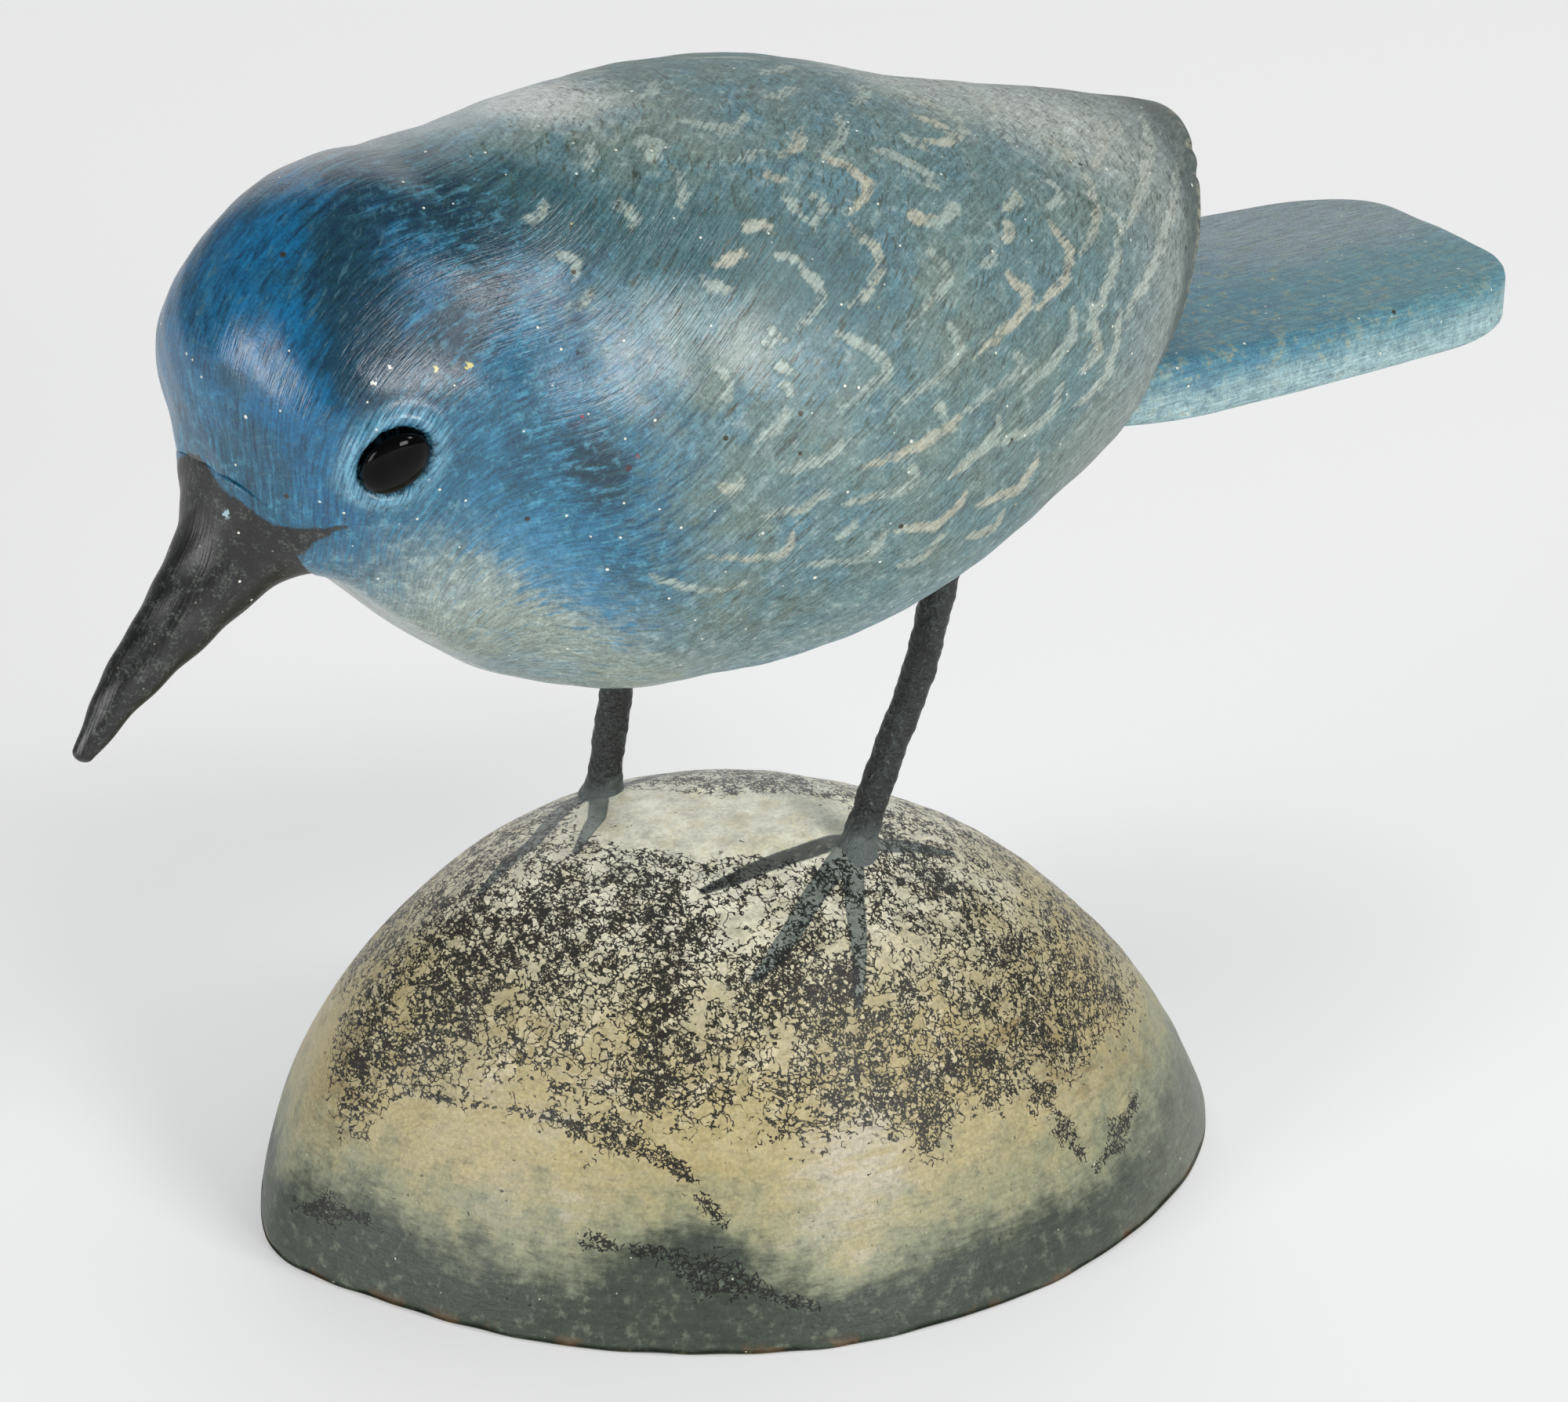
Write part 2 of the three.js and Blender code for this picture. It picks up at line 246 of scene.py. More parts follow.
# The feather edges: short curved strokes of cream paint laid by hand like scales over the wings and
# back, running together into long bands toward the wing edge. Each list follows one stroke from its
# upper end to its lower one: ring, millimetres from the ridge, ring, millimetres and so on.
FEATHER_EDGES = [
    [0.15, 2.8, 0.3, 6.7, 0.6, 10.4, 1.05, 15.5, 1.35, 18.6, 1.4, 20.3],
    [0.5, 3.2, 0.75, 7.3, 1.0, 10.4, 1.4, 14.6], [1.5, 19.5, 1.5, 21.3, 1.55, 23.5, 1.8, 25.5],
    [0.85, 4.0, 0.95, 5.5, 1.05, 6.9], [1.6, 10.9, 1.6, 12.3, 1.7, 14.6, 1.9, 16.7],
    [1.5, 15.1, 1.55, 16.8, 1.75, 19.4, 1.85, 20.9], [1.05, 4.5, 1.2, 7.3, 1.5, 10.6],
    [1.5, 5.8, 1.6, 8.2, 1.8, 10.1], [1.95, 11.8, 1.92, 12.9, 2.1, 14.0], [2.1, 14.8, 1.98, 17.0, 2.3, 20.5],
    [2.55, 18.6, 2.4, 20.3, 2.85, 23.5], [2.6, 17.6, 2.65, 18.0, 2.75, 18.4],
    [3.05, 17.3, 2.95, 19.0, 3.3, 21.4], [3.45, 15.2, 3.35, 17.7, 3.6, 19.7],
    [3.8, 16.3, 3.74, 18.5, 4.0, 19.9], [3.9, 15.4, 3.85, 15.7, 3.8, 16.0],
    [3.7, 20.4, 3.43, 23.3, 3.75, 24.6], [3.0, 21.4, 2.95, 23.6, 3.4, 25.7],
    [2.5, 22.9, 2.45, 24.1, 2.9, 26.8], [2.0, 19.9, 2.0, 21.9, 2.4, 25.1], [2.0, 24.2, 2.08, 26.2, 2.6, 28.8],
    [2.9, 26.8, 3.15, 28.0, 3.65, 28.5], [2.55, 27.0, 2.6, 28.3, 2.9, 30.3],
    [3.75, 26.3, 3.88, 27.0, 4.2, 26.8], [3.1, 25.8, 3.07, 26.3, 3.05, 26.8],
    [4.1, 22.0, 4.05, 22.4, 4.05, 22.9], [4.1, 23.4, 4.16, 24.3, 4.32, 24.3],
    [4.1, 20.9, 4.05, 21.4, 4.0, 21.9], [3.85, 28.9, 4.05, 29.4, 4.35, 28.6],
    [3.25, 29.1, 3.22, 30.4, 3.8, 30.2], [2.7, 31.4, 2.85, 33.2, 3.25, 33.2],
    [2.05, 28.6, 2.1, 30.6, 2.55, 32.2], [4.1, 30.8, 4.2, 32.1, 4.75, 29.4],
    [3.35, 33.0, 3.45, 34.6, 4.05, 33.4], [2.8, 34.1, 2.85, 35.7, 3.1, 36.0],
    [2.75, 3.4, 2.82, 5.2, 3.0, 6.6], [3.2, 4.4, 3.33, 5.0, 3.45, 5.5], [3.15, 7.6, 3.2, 9.1, 3.4, 10.6],
    [3.4, 8.3, 3.48, 9.5, 3.65, 10.0], [2.5, 3.5, 2.32, 6.2, 2.5, 9.4, 2.8, 10.0],
    [3.1, 10.7, 2.88, 12.2, 2.85, 13.8], [3.4, 10.5, 3.24, 12.9, 3.42, 14.4],
    [3.75, 10.8, 3.7, 11.3, 3.65, 11.8], [3.6, 12.7, 3.54, 13.8, 3.65, 14.7], [3.7, 9.2, 3.8, 9.5, 3.9, 9.6],
    [4.05, 14.6, 4.15, 14.7, 4.25, 14.6], [4.35, 15.0, 4.27, 15.8, 4.2, 16.4],
    [2.1, 7.2, 2.05, 8.0, 2.05, 8.9], [2.45, 15.5, 2.45, 16.2, 2.5, 16.8],
    [2.75, 14.6, 2.85, 15.3, 3.0, 15.9], [4.45, 5.2, 4.5, 6.1, 4.6, 6.8], [4.9, 7.6, 5.0, 8.2, 5.1, 8.1],
    [5.0, 10.4, 4.92, 11.2, 5.0, 12.0], [4.95, 12.8, 5.02, 13.4, 5.12, 13.3],
    [4.55, 9.4, 4.5, 10.2, 4.55, 10.9], [2.2, 0.8, 2.3, 2.0, 2.5, 2.9], [3.0, 0.6, 3.1, 1.7, 3.3, 2.4],
    [3.8, 1.2, 3.9, 2.4, 4.1, 3.1], [3.6, 6.3, 3.7, 7.1, 3.85, 7.6], [4.2, 6.0, 4.15, 7.0, 4.3, 7.8],
    [5.15, 29.7, 4.95, 30.9, 4.65, 32.4, 4.35, 32.8], [4.6, 25.5, 4.5, 26.4, 4.4, 26.1],
    [3.95, 5.6, 3.85, 6.6, 3.7, 7.0], [4.0, 13.2, 3.9, 13.7, 3.9, 14.2], [4.15, 8.7, 4.2, 10.1, 4.25, 11.1],
    [2.65, 7.4, 2.55, 7.7, 2.5, 8.5], [2.85, 9.4, 2.8, 10.2, 2.75, 10.8], [1.7, 7.9, 1.6, 8.8, 1.7, 10.0],
    [1.5, 13.1, 1.4, 14.1, 1.55, 15.3], [1.75, 20.3, 1.7, 22.0, 1.8, 23.3],
    [2.45, 34.2, 2.2, 33.7, 2.15, 32.2], [3.05, 14.9, 3.05, 15.6, 2.9, 15.4],
    [2.45, 14.6, 2.3, 13.7, 2.3, 13.0], [4.1, 19.0, 4.05, 19.7, 4.15, 19.7],
    [4.45, 19.2, 4.4, 20.8, 4.45, 21.5], [3.7, 12.4, 3.7, 13.4, 3.65, 14.1], [4.25, 6.2, 4.2, 7.5, 4.25, 7.9],
    [3.75, 32.3, 3.65, 32.1, 3.6, 31.5],
]
# half a stroke's width, and how it swells and thins from one end to the other
HALF_WIDTH = 0.38
TAPER = [[0, 0.12, 0.5, 0.85, 1], [0.55, 0.9, 1, 0.75, 0.3]]
rng = np.random.default_rng(3)
stroke, stroke_tone = np.full(body.shape[:2], -1.0), np.zeros(body.shape[:2])
for side in (1, -1):
    for points in FEATHER_EDGES:
        # the right side has the left side's strokes, each shifted a little; they are thinner at the neck
        points = np.reshape(points, (-1, 2)) + (side < 0) * rng.normal(0, [0.09, 0.7])
        count = 4 * len(points) + 1
        points = through(points, np.linspace(0, 1, count)) + rng.normal(0, [0.012, 0.07], (count, 2))
        tone, bold = rng.random(), rng.uniform(0.85, 1.2)
        bold *= np.interp(points[:, 0].mean(), [2.6, 4.0], [1.0, 0.72])
        laid = on_skin(points[:, 0], side * points[:, 1])
        low, high = laid.min(0) - 1.5, laid.max(0) + 1.5
        close = np.all((body > low) & (body < high), -1)
        d, place = along_line(body[close], laid)
        cover = HALF_WIDTH * bold * np.interp(place, *TAPER) - d
        stroke_tone[close] = np.where(cover > stroke[close], tone, stroke_tone[close])
        stroke[close] = np.maximum(stroke[close], cover)

# Relief: the putty ring round each eye, the crease where the neck meets the back, the worn wing edge
# and the slight unevenness of a surface cut with a knife.
normal = outward(body)
lift = 0.05 * np.sin(body @ [0.55, 0.3, 0.2]) * np.sin(body @ [-0.2, 0.7, 0.45] + 1.3)
lift += 0.03 * np.sin(body @ [1.3, -0.8, 0.9] + 0.5) * np.sin(body @ [0.4, 1.5, -1.1])


def eye_frame(side):
    """The axis an eye looks along, its long direction and its short one, at right angles to each other."""
    mirror = np.array([1, side, 1])
    axis = EYE_LOOKS * mirror / np.linalg.norm(EYE_LOOKS)
    long = EYE_SLOPE * mirror - (EYE_SLOPE * mirror @ axis) * axis
    long /= np.linalg.norm(long)
    return axis, long, np.cross(axis, long)


eye_ring = np.full(body.shape[:2], 9.0)
for side in (-1, 1):
    reach = body - EYE_MIDDLE * [1, side, 1]
    axis, long, short = eye_frame(side)
    r = np.hypot(reach @ long / EYE_LONG, reach @ short)
    r = np.where(np.linalg.norm(reach, axis=-1) < 8, r, 9.0) - EYE_RADIUS
    lift += 0.24 * hill((r - 0.48) / 0.34) - 0.75 * soft(-r, -0.15, 0.1) - 0.06 * hill((r - 1.2) / 0.4)
    eye_ring = np.minimum(eye_ring, r)
lift -= 0.22 * hill((row - 5.35 - 0.02 * np.abs(girth)) / 0.16) * hill(girth / 9)
for notch in ([30.8, -6.2, 61.4], [31.6, -4.9, 62.6], [26.3, 9.6, 56.0]):
    lift -= 0.32 * hill(np.linalg.norm(body - notch, axis=-1) / 0.45)

# The bill: round in section, tapering to a blunt tip, with a rounded hollow where it leaves the face.
BILL_ACROSS, BILL_ROWS, TIP_ROWS, ROOT_ROWS, FACE_ROW = 80, 84, 7, 40, 180
bill_turn = circle(BILL_ACROSS)
shaft = carved_skin(BILL_ROOT_TO_TIP, np.linspace(0, 1, BILL_ROWS), bill_turn)
round_off = np.linspace(0, 1, TIP_ROWS + 2)[1:-1] * np.pi / 2
tip = carved_skin(BILL_ROOT_TO_TIP, np.ones(TIP_ROWS), bill_turn, np.cos(round_off), -0.5 * np.sin(round_off))
bill = np.concatenate([shaft, tip])
# paint and filler round off the corner between bill and face, over a band this wide on either side
HOLLOW = 2.4
places = np.linspace(0, 1, 30)
spine = through(BILL_ROOT_TO_TIP, places)
from_bill, place = along_line(body, np.stack([spine[:, 0], 0 * spine[:, 0], spine[:, 1]], -1))
from_bill -= np.interp(place, places, spine[:, 3])
sides = 0.45 + 0.55 * soft(np.abs(body[..., 1]), 0.4, 2.8)
lift += sides * HOLLOW / 4 * np.clip(1 - np.abs(from_bill) / HOLLOW, 0, 1) ** 2
face = body[FACE_ROW:].reshape(-1, 3)
root = bill[:ROOT_ROWS].reshape(-1, 3)
from_face = np.full(bill.shape[:2], 9.0)
nearest = [np.linalg.norm(root[:, None] - face[None, k::16], axis=-1).min(1) for k in range(16)]
from_face[:ROOT_ROWS] = np.min(nearest, 0).reshape(ROOT_ROWS, -1)
bill_lift = soft(np.abs(bill[..., 1]), 0.4, 3.2) * HOLLOW / 4 * np.clip(1 - from_face / HOLLOW, 0, 1) ** 2
bill_lift += 0.05 * np.sin(bill @ [1.9, 1.1, 0.7]) * np.sin(bill @ [-0.8, 1.7, 1.4])
bill = bill + outward(bill) * bill_lift[..., None]
body = body + normal * lift[..., None]

# The tail: a flat paddle, square-ended with soft corners, the right corner a little longer, and the
# wedge of vent feathers that carries it from below.
TAIL_ACROSS, VENT_ACROSS, VENT_ROWS = 150, 64, 40
TAIL_MIDDLE, TAIL_ROOT, TAIL_HALF_LONG, TAIL_HALF_WIDE, THICK = 39.3, 31.3, 20.8, 11.1, 4.2
TAIL_TOP, TAIL_DROOP, SQUARE = 51.4, 1.75, 4.3
tail_turn = circle(TAIL_ACROSS)
# from the middle of the underside round the edge to the middle of the top: inset, then height
under = [[d, 0] for d in np.linspace(10.8, 1.6, 14)]
edge = [[1.3, 0], [0.7, 0.05], [0.35, 0.18], [0.1, 0.5], [0, 0.9], [0, 1.7], [0, 2.5], [0, THICK - 0.9],
        [0.1, THICK - 0.5], [0.35, THICK - 0.2], [0.8, THICK - 0.04], [1.4, THICK]]
over = [[d, THICK] for d in np.linspace(1.8, 10.8, 22)]
inset, rise = np.vstack([under, edge, over]).T[:, :, None]
c, s = rounded(tail_turn, SQUARE)
# each outline lies evenly inside the edge, and from 3 mm in shrinks in proportion
slim = np.clip(inset / 3, 0, 1)
straight = TAIL_MIDDLE + (TAIL_HALF_LONG - inset * (slim * TAIL_HALF_LONG / TAIL_HALF_WIDE + 1 - slim)) * c
y = (TAIL_HALF_WIDE - inset) * s
# the square end slants, so that the right corner is the longer
x = straight + 0.21 * y * np.clip((straight - TAIL_ROOT - 10) / 20, 0, 1) ** 2
top = TAIL_TOP - math.tan(math.radians(TAIL_DROOP)) * (x - TAIL_ROOT)
tail = np.stack([x, y, top - THICK + rise + 0 * x], -1)
tail[..., 2] += 0.05 * np.sin(0.9 * tail[..., 1] + 0.3 * tail[..., 0]) * np.sin(0.5 * tail[..., 0])
vent_turn = circle(VENT_ACROSS)
vent = carved_skin(VENT_TO_TAIL, np.linspace(0, 1, VENT_ROWS), vent_turn)

# Where each colour lies: the blue hood ends at the neck, the pale breast starts below the cheek, and
# black runs from the bill a little way back along the gape.
around = np.abs(girth)
hood = (row - np.interp(around, [0, 8, 20, 30, 38, 50], [5.4, 4.95, 4.9, 4.95, 5.3, 5.6])) * 7
pale = around - np.interp(row, [0, 1, 2, 3, 4, 5, 5.5, 6, 6.5, 7, 7.5, 8, 9],
                          [33, 34, 38, 42, 42, 37, 33, 29, 25, 21, 17, 12, 9])
swept = hill((pale + 2) / 6, (row - 5.9) / 0.9)
# darker patches over the crown, down between the eyes and behind the cheek, painted shading over the
# shoulders, and paler patches of painted sheen on the nape and the top of the back: for each its middle, its
# reach and its weight, the same on both sides
DARK_PATCHES_AND_PAINTED_LIGHT = [
    [-29.1, 4.9, 69.1, 2.6, 0.8], [-30.3, 7.3, 65.8, 2.6, 1.0], [-30.8, 8.6, 62.4, 2.2, 1.0],
    [-27.0, 10.0, 62.8, 2.4, 1.0], [-24.6, 9.3, 65.0, 2.2, 0.7], [-25.0, 1.5, 71.6, 3.5, 0.6],
    [-13.0, 1.0, 71.5, 4.8, -0.4], [-23.3, 5.0, 70.1, 4.0, 0.8], [-19.0, 6.5, 69.2, 3.6, 0.9],
    [-14.6, 9.2, 67.5, 3.6, 0.7], [-22.5, 9.0, 66.0, 1.8, 0.5], [-17.9, 12.4, 55.3, 2.4, 0.9],
    [-20.0, 11.8, 57.4, 2.0, 0.5], [-10.0, 11.6, 66.8, 3.4, 0.55], [-6.3, 13.4, 65.5, 4.4, 0.45],
    [-3.0, 15.4, 63.4, 4.0, 0.4], [19.6, 5.9, 66.2, 6.5, -0.65], [10.0, 3.0, 69.5, 6.0, -0.35],
]
dark_patches_and_painted_light = np.zeros(body.shape[:2])
for cx, cy, cz, size, weight in DARK_PATCHES_AND_PAINTED_LIGHT:
    for side in (1, -1):
        dark_patches_and_painted_light += weight * spot(body, [cx, side * cy, cz], size)
deep = hill((row - 6.6) / 1.1, (around - 6) / 9)
# the black's upper edge steps down from the forehead to the gape, and its lower edge rises from the
# chin to meet it
PAINT_TOP = [[-7.3, -5.9, -4.6, -3.1, -1.2, 0, 0.5, 1.4, 3.1, 3.9, 4.6, 5.9, 7.3],
             [54.1, 54.0, 54.3, 55.6, 56.8, 57.0, 56.7, 56.1, 55.5, 54.9, 54.1, 54.0, 54.1]]
PAINT_FOOT = [[0, 2.0, 2.7, 3.5, 4.4, 5.8, 7.3], [49.0, 49.2, 49.6, 50.7, 51.5, 53.0, 54.1]]
aside = np.abs(body[..., 1])
below_top = np.interp(-body[..., 1], *PAINT_TOP) - body[..., 2]
above_foot = body[..., 2] - np.interp(aside, *PAINT_FOOT)
black = np.minimum(np.minimum(below_top, above_foot), 7.25 - aside)
black = np.where(body[..., 0] < -29.5, black, -9.0)
black_bill = np.interp(-bill[..., 1], *PAINT_TOP) - bill[..., 2]
# the comb of the brush: across each stroke's direction, which falls toward the flank behind the neck
comb = around - 0.85 * np.cumsum((1 - soft(row, 4.4, 5.6)) * np.diff(forward, axis=0, prepend=forward[:1]), 0)
# every mark that the paint reads, with its value where there is none of it
BARE = {"hood": -20.0, "pale": -20.0, "black": -9.0, "stroke": -1.0, "tone": 0.0, "ring": 9.0, "rim": 30.0,
        "comb": 0.0, "dark_patches_and_painted_light": 0.0, "deep": 0.0, "swept": 0.0, "tail": 0.0}
body_marks = {**BARE, "hood": hood, "pale": pale, "black": black, "stroke": stroke, "tone": stroke_tone,
              "ring": eye_ring, "rim": forward, "comb": comb, "dark_patches_and_painted_light": dark_patches_and_painted_light, "deep": deep, "swept": swept}
bill_marks = {**BARE, "hood": 9.0, "black": black_bill, "deep": 0.4, "comb": bill[..., 1] * 2}
plain = [(grid, {**BARE, "tail": 1.0, "comb": grid[..., 1] + 2 * grid[..., 2], "rim": grid[..., 0]})
         for grid in (tail, vent)]
bird = one_mesh("carved_bird_painted", [(body, body_marks), (bill, bill_marks)] + plain)


def colour(red, green, blue):
    """A paint chip's sRGB values, 0 to 255, as linear light: ((c + 0.055) / 1.055) to the power 2.4."""
    return tuple(((c / 255 + 0.055) / 1.055) ** 2.4 for c in (red, green, blue)) + (1.0,)


class Paint:
    """A material of nodes. Its methods add nodes, set their inputs to numbers or join them to other nodes'
    outputs, and give back the result."""

    def __init__(self, name):
        self.material = bpy.data.materials.new(name)
        self.material.use_nodes = True
        self.tree = self.material.node_tree
        self.shader = self.tree.nodes["Principled BSDF"]
        self.place = self.put("Mapping", {"Vector": self.put("TexCoord", {}, 3), "Scale": (1000, 1000, 1000)})

    def put(self, kind, inputs, out=0, **settings):
        """Adds a node of a kind with its inputs and settings, and gives back one of its outputs."""
        node = self.tree.nodes.new("ShaderNode" + kind)
        for key, value in settings.items():
            setattr(node, key, value)
        for key, value in inputs.items():
            self.feed(node.inputs[key], value)
        return node.outputs[out]

    def feed(self, socket, value):
        """Joins another node's output to the socket, or sets it to a number or colour."""
        if isinstance(value, bpy.types.NodeSocket):
            self.tree.links.new(value, socket)
        else:
            socket.default_value = value

    def mark(self, name):
        """A number painted on the mesh's points."""
        return self.put("Attribute", {}, 2, attribute_name=name)

    def noise(self, at, scale, detail=2.0, rough=0.55):
        """Smooth noise of about 0 to 1 with features 1 / scale millimetres apart."""
        return self.put("TexNoise", {"Vector": at, "Scale": scale, "Detail": detail, "Roughness": rough})

    def step(self, value, low, high, top=1.0):
        """Smooth step from 0 at low to top at high."""
        ends = {"Value": value, "From Min": low, "From Max": high, "To Min": 0.0, "To Max": top}
        return self.put("MapRange", ends, interpolation_type="SMOOTHSTEP")

    def sum(self, value, *more):
        """value + b x c + d x e and so on, from the pairs after it. A last number left out is 1."""
        more += (1.0,) * (len(more) % 2)
        for part, times in zip(more[::2], more[1::2]):
            value = self.put("Math", {0: part, 1: times, 2: value}, operation="MULTIPLY_ADD")
        return value

    def product(self, a, b):
        """a x b"""
        return self.put("Math", {0: a, 1: b}, operation="MULTIPLY")

    def lay(self, under, over, amount, *more):
        """One colour laid over another where every amount is 1: amounts are multiplied together. Three
        numbers in brackets are a paint chip."""
        under, over = (colour(*c) if isinstance(c, tuple) else c for c in (under, over))
        for other in more:
            amount = self.product(amount, other)
        return self.put("Mix", {0: amount, 6: under, 7: over}, 2, data_type="RGBA")

    def shaded(self, paint, depth):
        """A colour times a number"""
        return self.put("Mix", {0: 1.0, 6: paint, 7: depth}, 2, data_type="RGBA", blend_type="MULTIPLY")

    def specks(self, scale, size, share):
        """Round dots: the nearest of scattered points closer than size, kept in a share of the cells."""
        cell = {"Vector": self.place, "Scale": scale}
        near = self.put("TexVoronoi", cell)
        chosen = self.put("SeparateColor", {0: self.put("TexVoronoi", cell, 1)})
        return self.product(self.step(near, size, size * 0.6), self.step(chosen, share, share * 0.9))

    def finish(self, base, rough, height, depth, shine, *pieces):
        """Joins colour, roughness and a bump depth millimetres high to the surface, and paints the pieces.
        shine is the level of its reflections, 0.5 for plain varnish."""
        self.feed(self.shader.inputs["Base Color"], base)
        self.feed(self.shader.inputs["Roughness"], rough)
        self.shader.inputs["Specular IOR Level"].default_value = shine
        bump = self.put("Bump", {"Height": height, "Distance": depth * MM, "Strength": 1.0})
        self.feed(self.shader.inputs["Normal"], bump)
        for piece in pieces:
            piece.data.materials.append(self.material)


oil = Paint("thin_oil_paint_on_wood")
x, y, z = (oil.put("SeparateXYZ", {0: oil.place}, k) for k in range(3))
rim, comb_mark, ring, deep_mark = oil.mark("rim"), oil.mark("comb"), oil.mark("ring"), oil.mark("deep")
brushed = oil.put("CombineXYZ", {0: comb_mark, 1: oil.product(rim, 0.3), 2: oil.product(y, 0.5)})
hairs = oil.put("CombineXYZ", {0: comb_mark, 1: oil.product(rim, 0.11), 2: oil.product(y, 0.3)})
slant = oil.put("CombineXYZ",
                {0: oil.product(oil.sum(x, z), 0.12), 1: oil.sum(z, x, -1), 2: oil.product(y, 0.35)})
bristle = oil.noise(hairs, 4, 3, 0.65)
scratch = oil.noise(slant, 4, 3, 0.65)
smear = oil.noise(brushed, 0.8, 5, 0.7)
streak = oil.noise(brushed, 2, 4, 0.7)
cloud = oil.noise(oil.place, 0.16, 2)
patch = oil.noise(oil.place, 0.42, 4, 0.6)
mottle = oil.noise(oil.place, 1.3, 5, 0.7)
grain = oil.noise(oil.place, 6, 3, 0.6)

# back and wings: grey green and dusty blue worked together, with dark slanting scratches in the paint
wing = oil.lay((98, 128, 132), (110, 130, 122), oil.step(oil.sum(cloud, streak, 0.5), 0.6, 0.9))
wing = oil.lay(wing, (80, 128, 146), oil.step(patch, 0.46, 0.64, 0.55), oil.step(rim, 14, 38))
wing = oil.lay(wing, (76, 104, 104), oil.step(streak, 0.5, 0.64, 0.6))
wing = oil.lay(wing, (146, 160, 156), oil.step(mottle, 0.52, 0.66, 0.5))
wing = oil.lay(wing, (144, 152, 148), oil.step(rim, 17, 5, 0.75))
# painted shading: darker teal where the dark patches reach the wing, over the shoulders
wing = oil.lay(wing, (58, 96, 102), oil.step(oil.sum(oil.mark("dark_patches_and_painted_light"), streak, 0.6), 0.4, 1.1, 0.9))
# painted light: paler grey where the patches' weight is below zero, a painted sheen on the nape and the top
# of the back
wing = oil.lay(wing, (188, 194, 188), oil.step(oil.sum(oil.mark("dark_patches_and_painted_light"), mottle, -0.4), -0.3, -1, 0.8))
wing = oil.lay(wing, (66, 74, 60), oil.step(scratch, 0.54, 0.64, 0.8), oil.step(patch, 0.36, 0.54))
# hood: saturated blue over teal, nearly black in patches over the nape, worn lighter on the cheek
blue = oil.lay((36, 100, 130), (8, 94, 136), oil.step(oil.sum(deep_mark, patch, 1.3), 0.75, 1.35))
blue = oil.lay(blue, (26, 78, 98), oil.step(oil.sum(cloud, patch, 0.6), 0.76, 0.94, 0.7))
blue = oil.lay(blue, (13, 48, 60), oil.step(oil.sum(oil.mark("dark_patches_and_painted_light"), smear, 1.2, streak, 1), 1.35, 2, 0.85))
blue = oil.lay(blue, (6, 48, 76), oil.step(streak, 0.52, 0.64, 0.65))
blue = oil.lay(blue, (64, 138, 166), oil.step(streak, 0.47, 0.36, 0.8), oil.step(deep_mark, 0.9, 0.1))
blue = oil.lay(blue, (82, 144, 162), oil.step(mottle, 0.54, 0.68, 0.6), oil.step(deep_mark, 0.9, 0.1))
blue = oil.lay(blue, (72, 112, 122), oil.step(scratch, 0.58, 0.68, 0.5))
edge_of_hood = oil.sum(oil.mark("hood"), streak, 10, mottle, 10)
paint = oil.lay(wing, blue, oil.step(edge_of_hood, 6.5, 13.5))
# breast and belly: pale grey blue under the chin, sandy and streaked toward the legs
breast = oil.lay((138, 164, 172), (150, 163, 156), oil.step(oil.sum(cloud, rim, -0.012), 0.25, -0.05))
breast = oil.lay(breast, (110, 148, 162), oil.step(streak, 0.5, 0.66, 0.7))
breast = oil.lay(breast, (180, 190, 178), oil.step(mottle, 0.53, 0.7, 0.6))
breast = oil.lay(breast, (124, 138, 122), oil.step(scratch, 0.56, 0.7, 0.4))
edge_of_breast = oil.sum(oil.mark("pale"), streak, 10, mottle, 8)
paint = oil.lay(paint, breast, oil.step(edge_of_breast, 3, 13))
# fresh blue strokes swept from the cheek along the flank
paint = oil.lay(paint, (50, 124, 162), oil.step(oil.sum(oil.mark("swept"), streak, 2.6), 1.8, 2.3, 0.75))
# the feather edges, dry-brushed so that the ground shows through
laid = oil.sum(oil.mark("stroke"), bristle, 0.6, mottle, 0.45)
laid = oil.product(oil.step(laid, 0.4, 0.66), oil.step(oil.sum(bristle, mottle), 0.66, 1, 0.9))
cream = oil.lay((150, 166, 158), (172, 172, 154), oil.step(oil.sum(oil.mark("tone"), patch), 1, 1.5))
cream = oil.lay(cream, (166, 174, 166), oil.step(rim, 22, 8, 0.9))
cream = oil.lay(cream, (120, 112, 84), oil.step(scratch, 0.56, 0.68, 0.6))
paint = oil.lay(paint, cream, laid)
# the wing edge is rubbed: darker behind it, bare tan wood along it
paint = oil.lay(paint, (64, 78, 74), oil.step(oil.sum(rim, mottle, 2.4), 7.4, 3, 0.8))
paint = oil.lay(paint, (150, 146, 126), oil.step(rim, 1, 0.3), oil.step(mottle, 0.45, 0.6, 0.7))
paint = oil.lay(paint, (78, 92, 86), oil.step(rim, -0.3, -2, 0.8))
# tail: blue at its root and along its near edge, grey over the top, pale along the sides
vane = oil.lay((88, 138, 150), (134, 152, 160), oil.step(oil.sum(y, patch, 7), -1, 7))
vane = oil.lay(vane, (66, 124, 148), oil.step(x, 48, 33),
               oil.step(oil.sum(patch, smear, 0.6), 0.58, 0.9, 0.85))
vane = oil.lay(vane, (126, 144, 132), oil.step(oil.sum(mottle, smear, 0.5), 0.74, 0.9, 0.7))
side = oil.step(oil.sum(z, patch, 2.4, x, 0.03), 53, 50.4)
vane = oil.lay(vane, (158, 186, 188), side, oil.step(mottle, 0, 0.6, 0.9))
vane = oil.lay(vane, (140, 136, 100), oil.step(mottle, 0.57, 0.7, 0.7), oil.step(x, 52, 30))
paint = oil.lay(paint, vane, oil.mark("tail"))
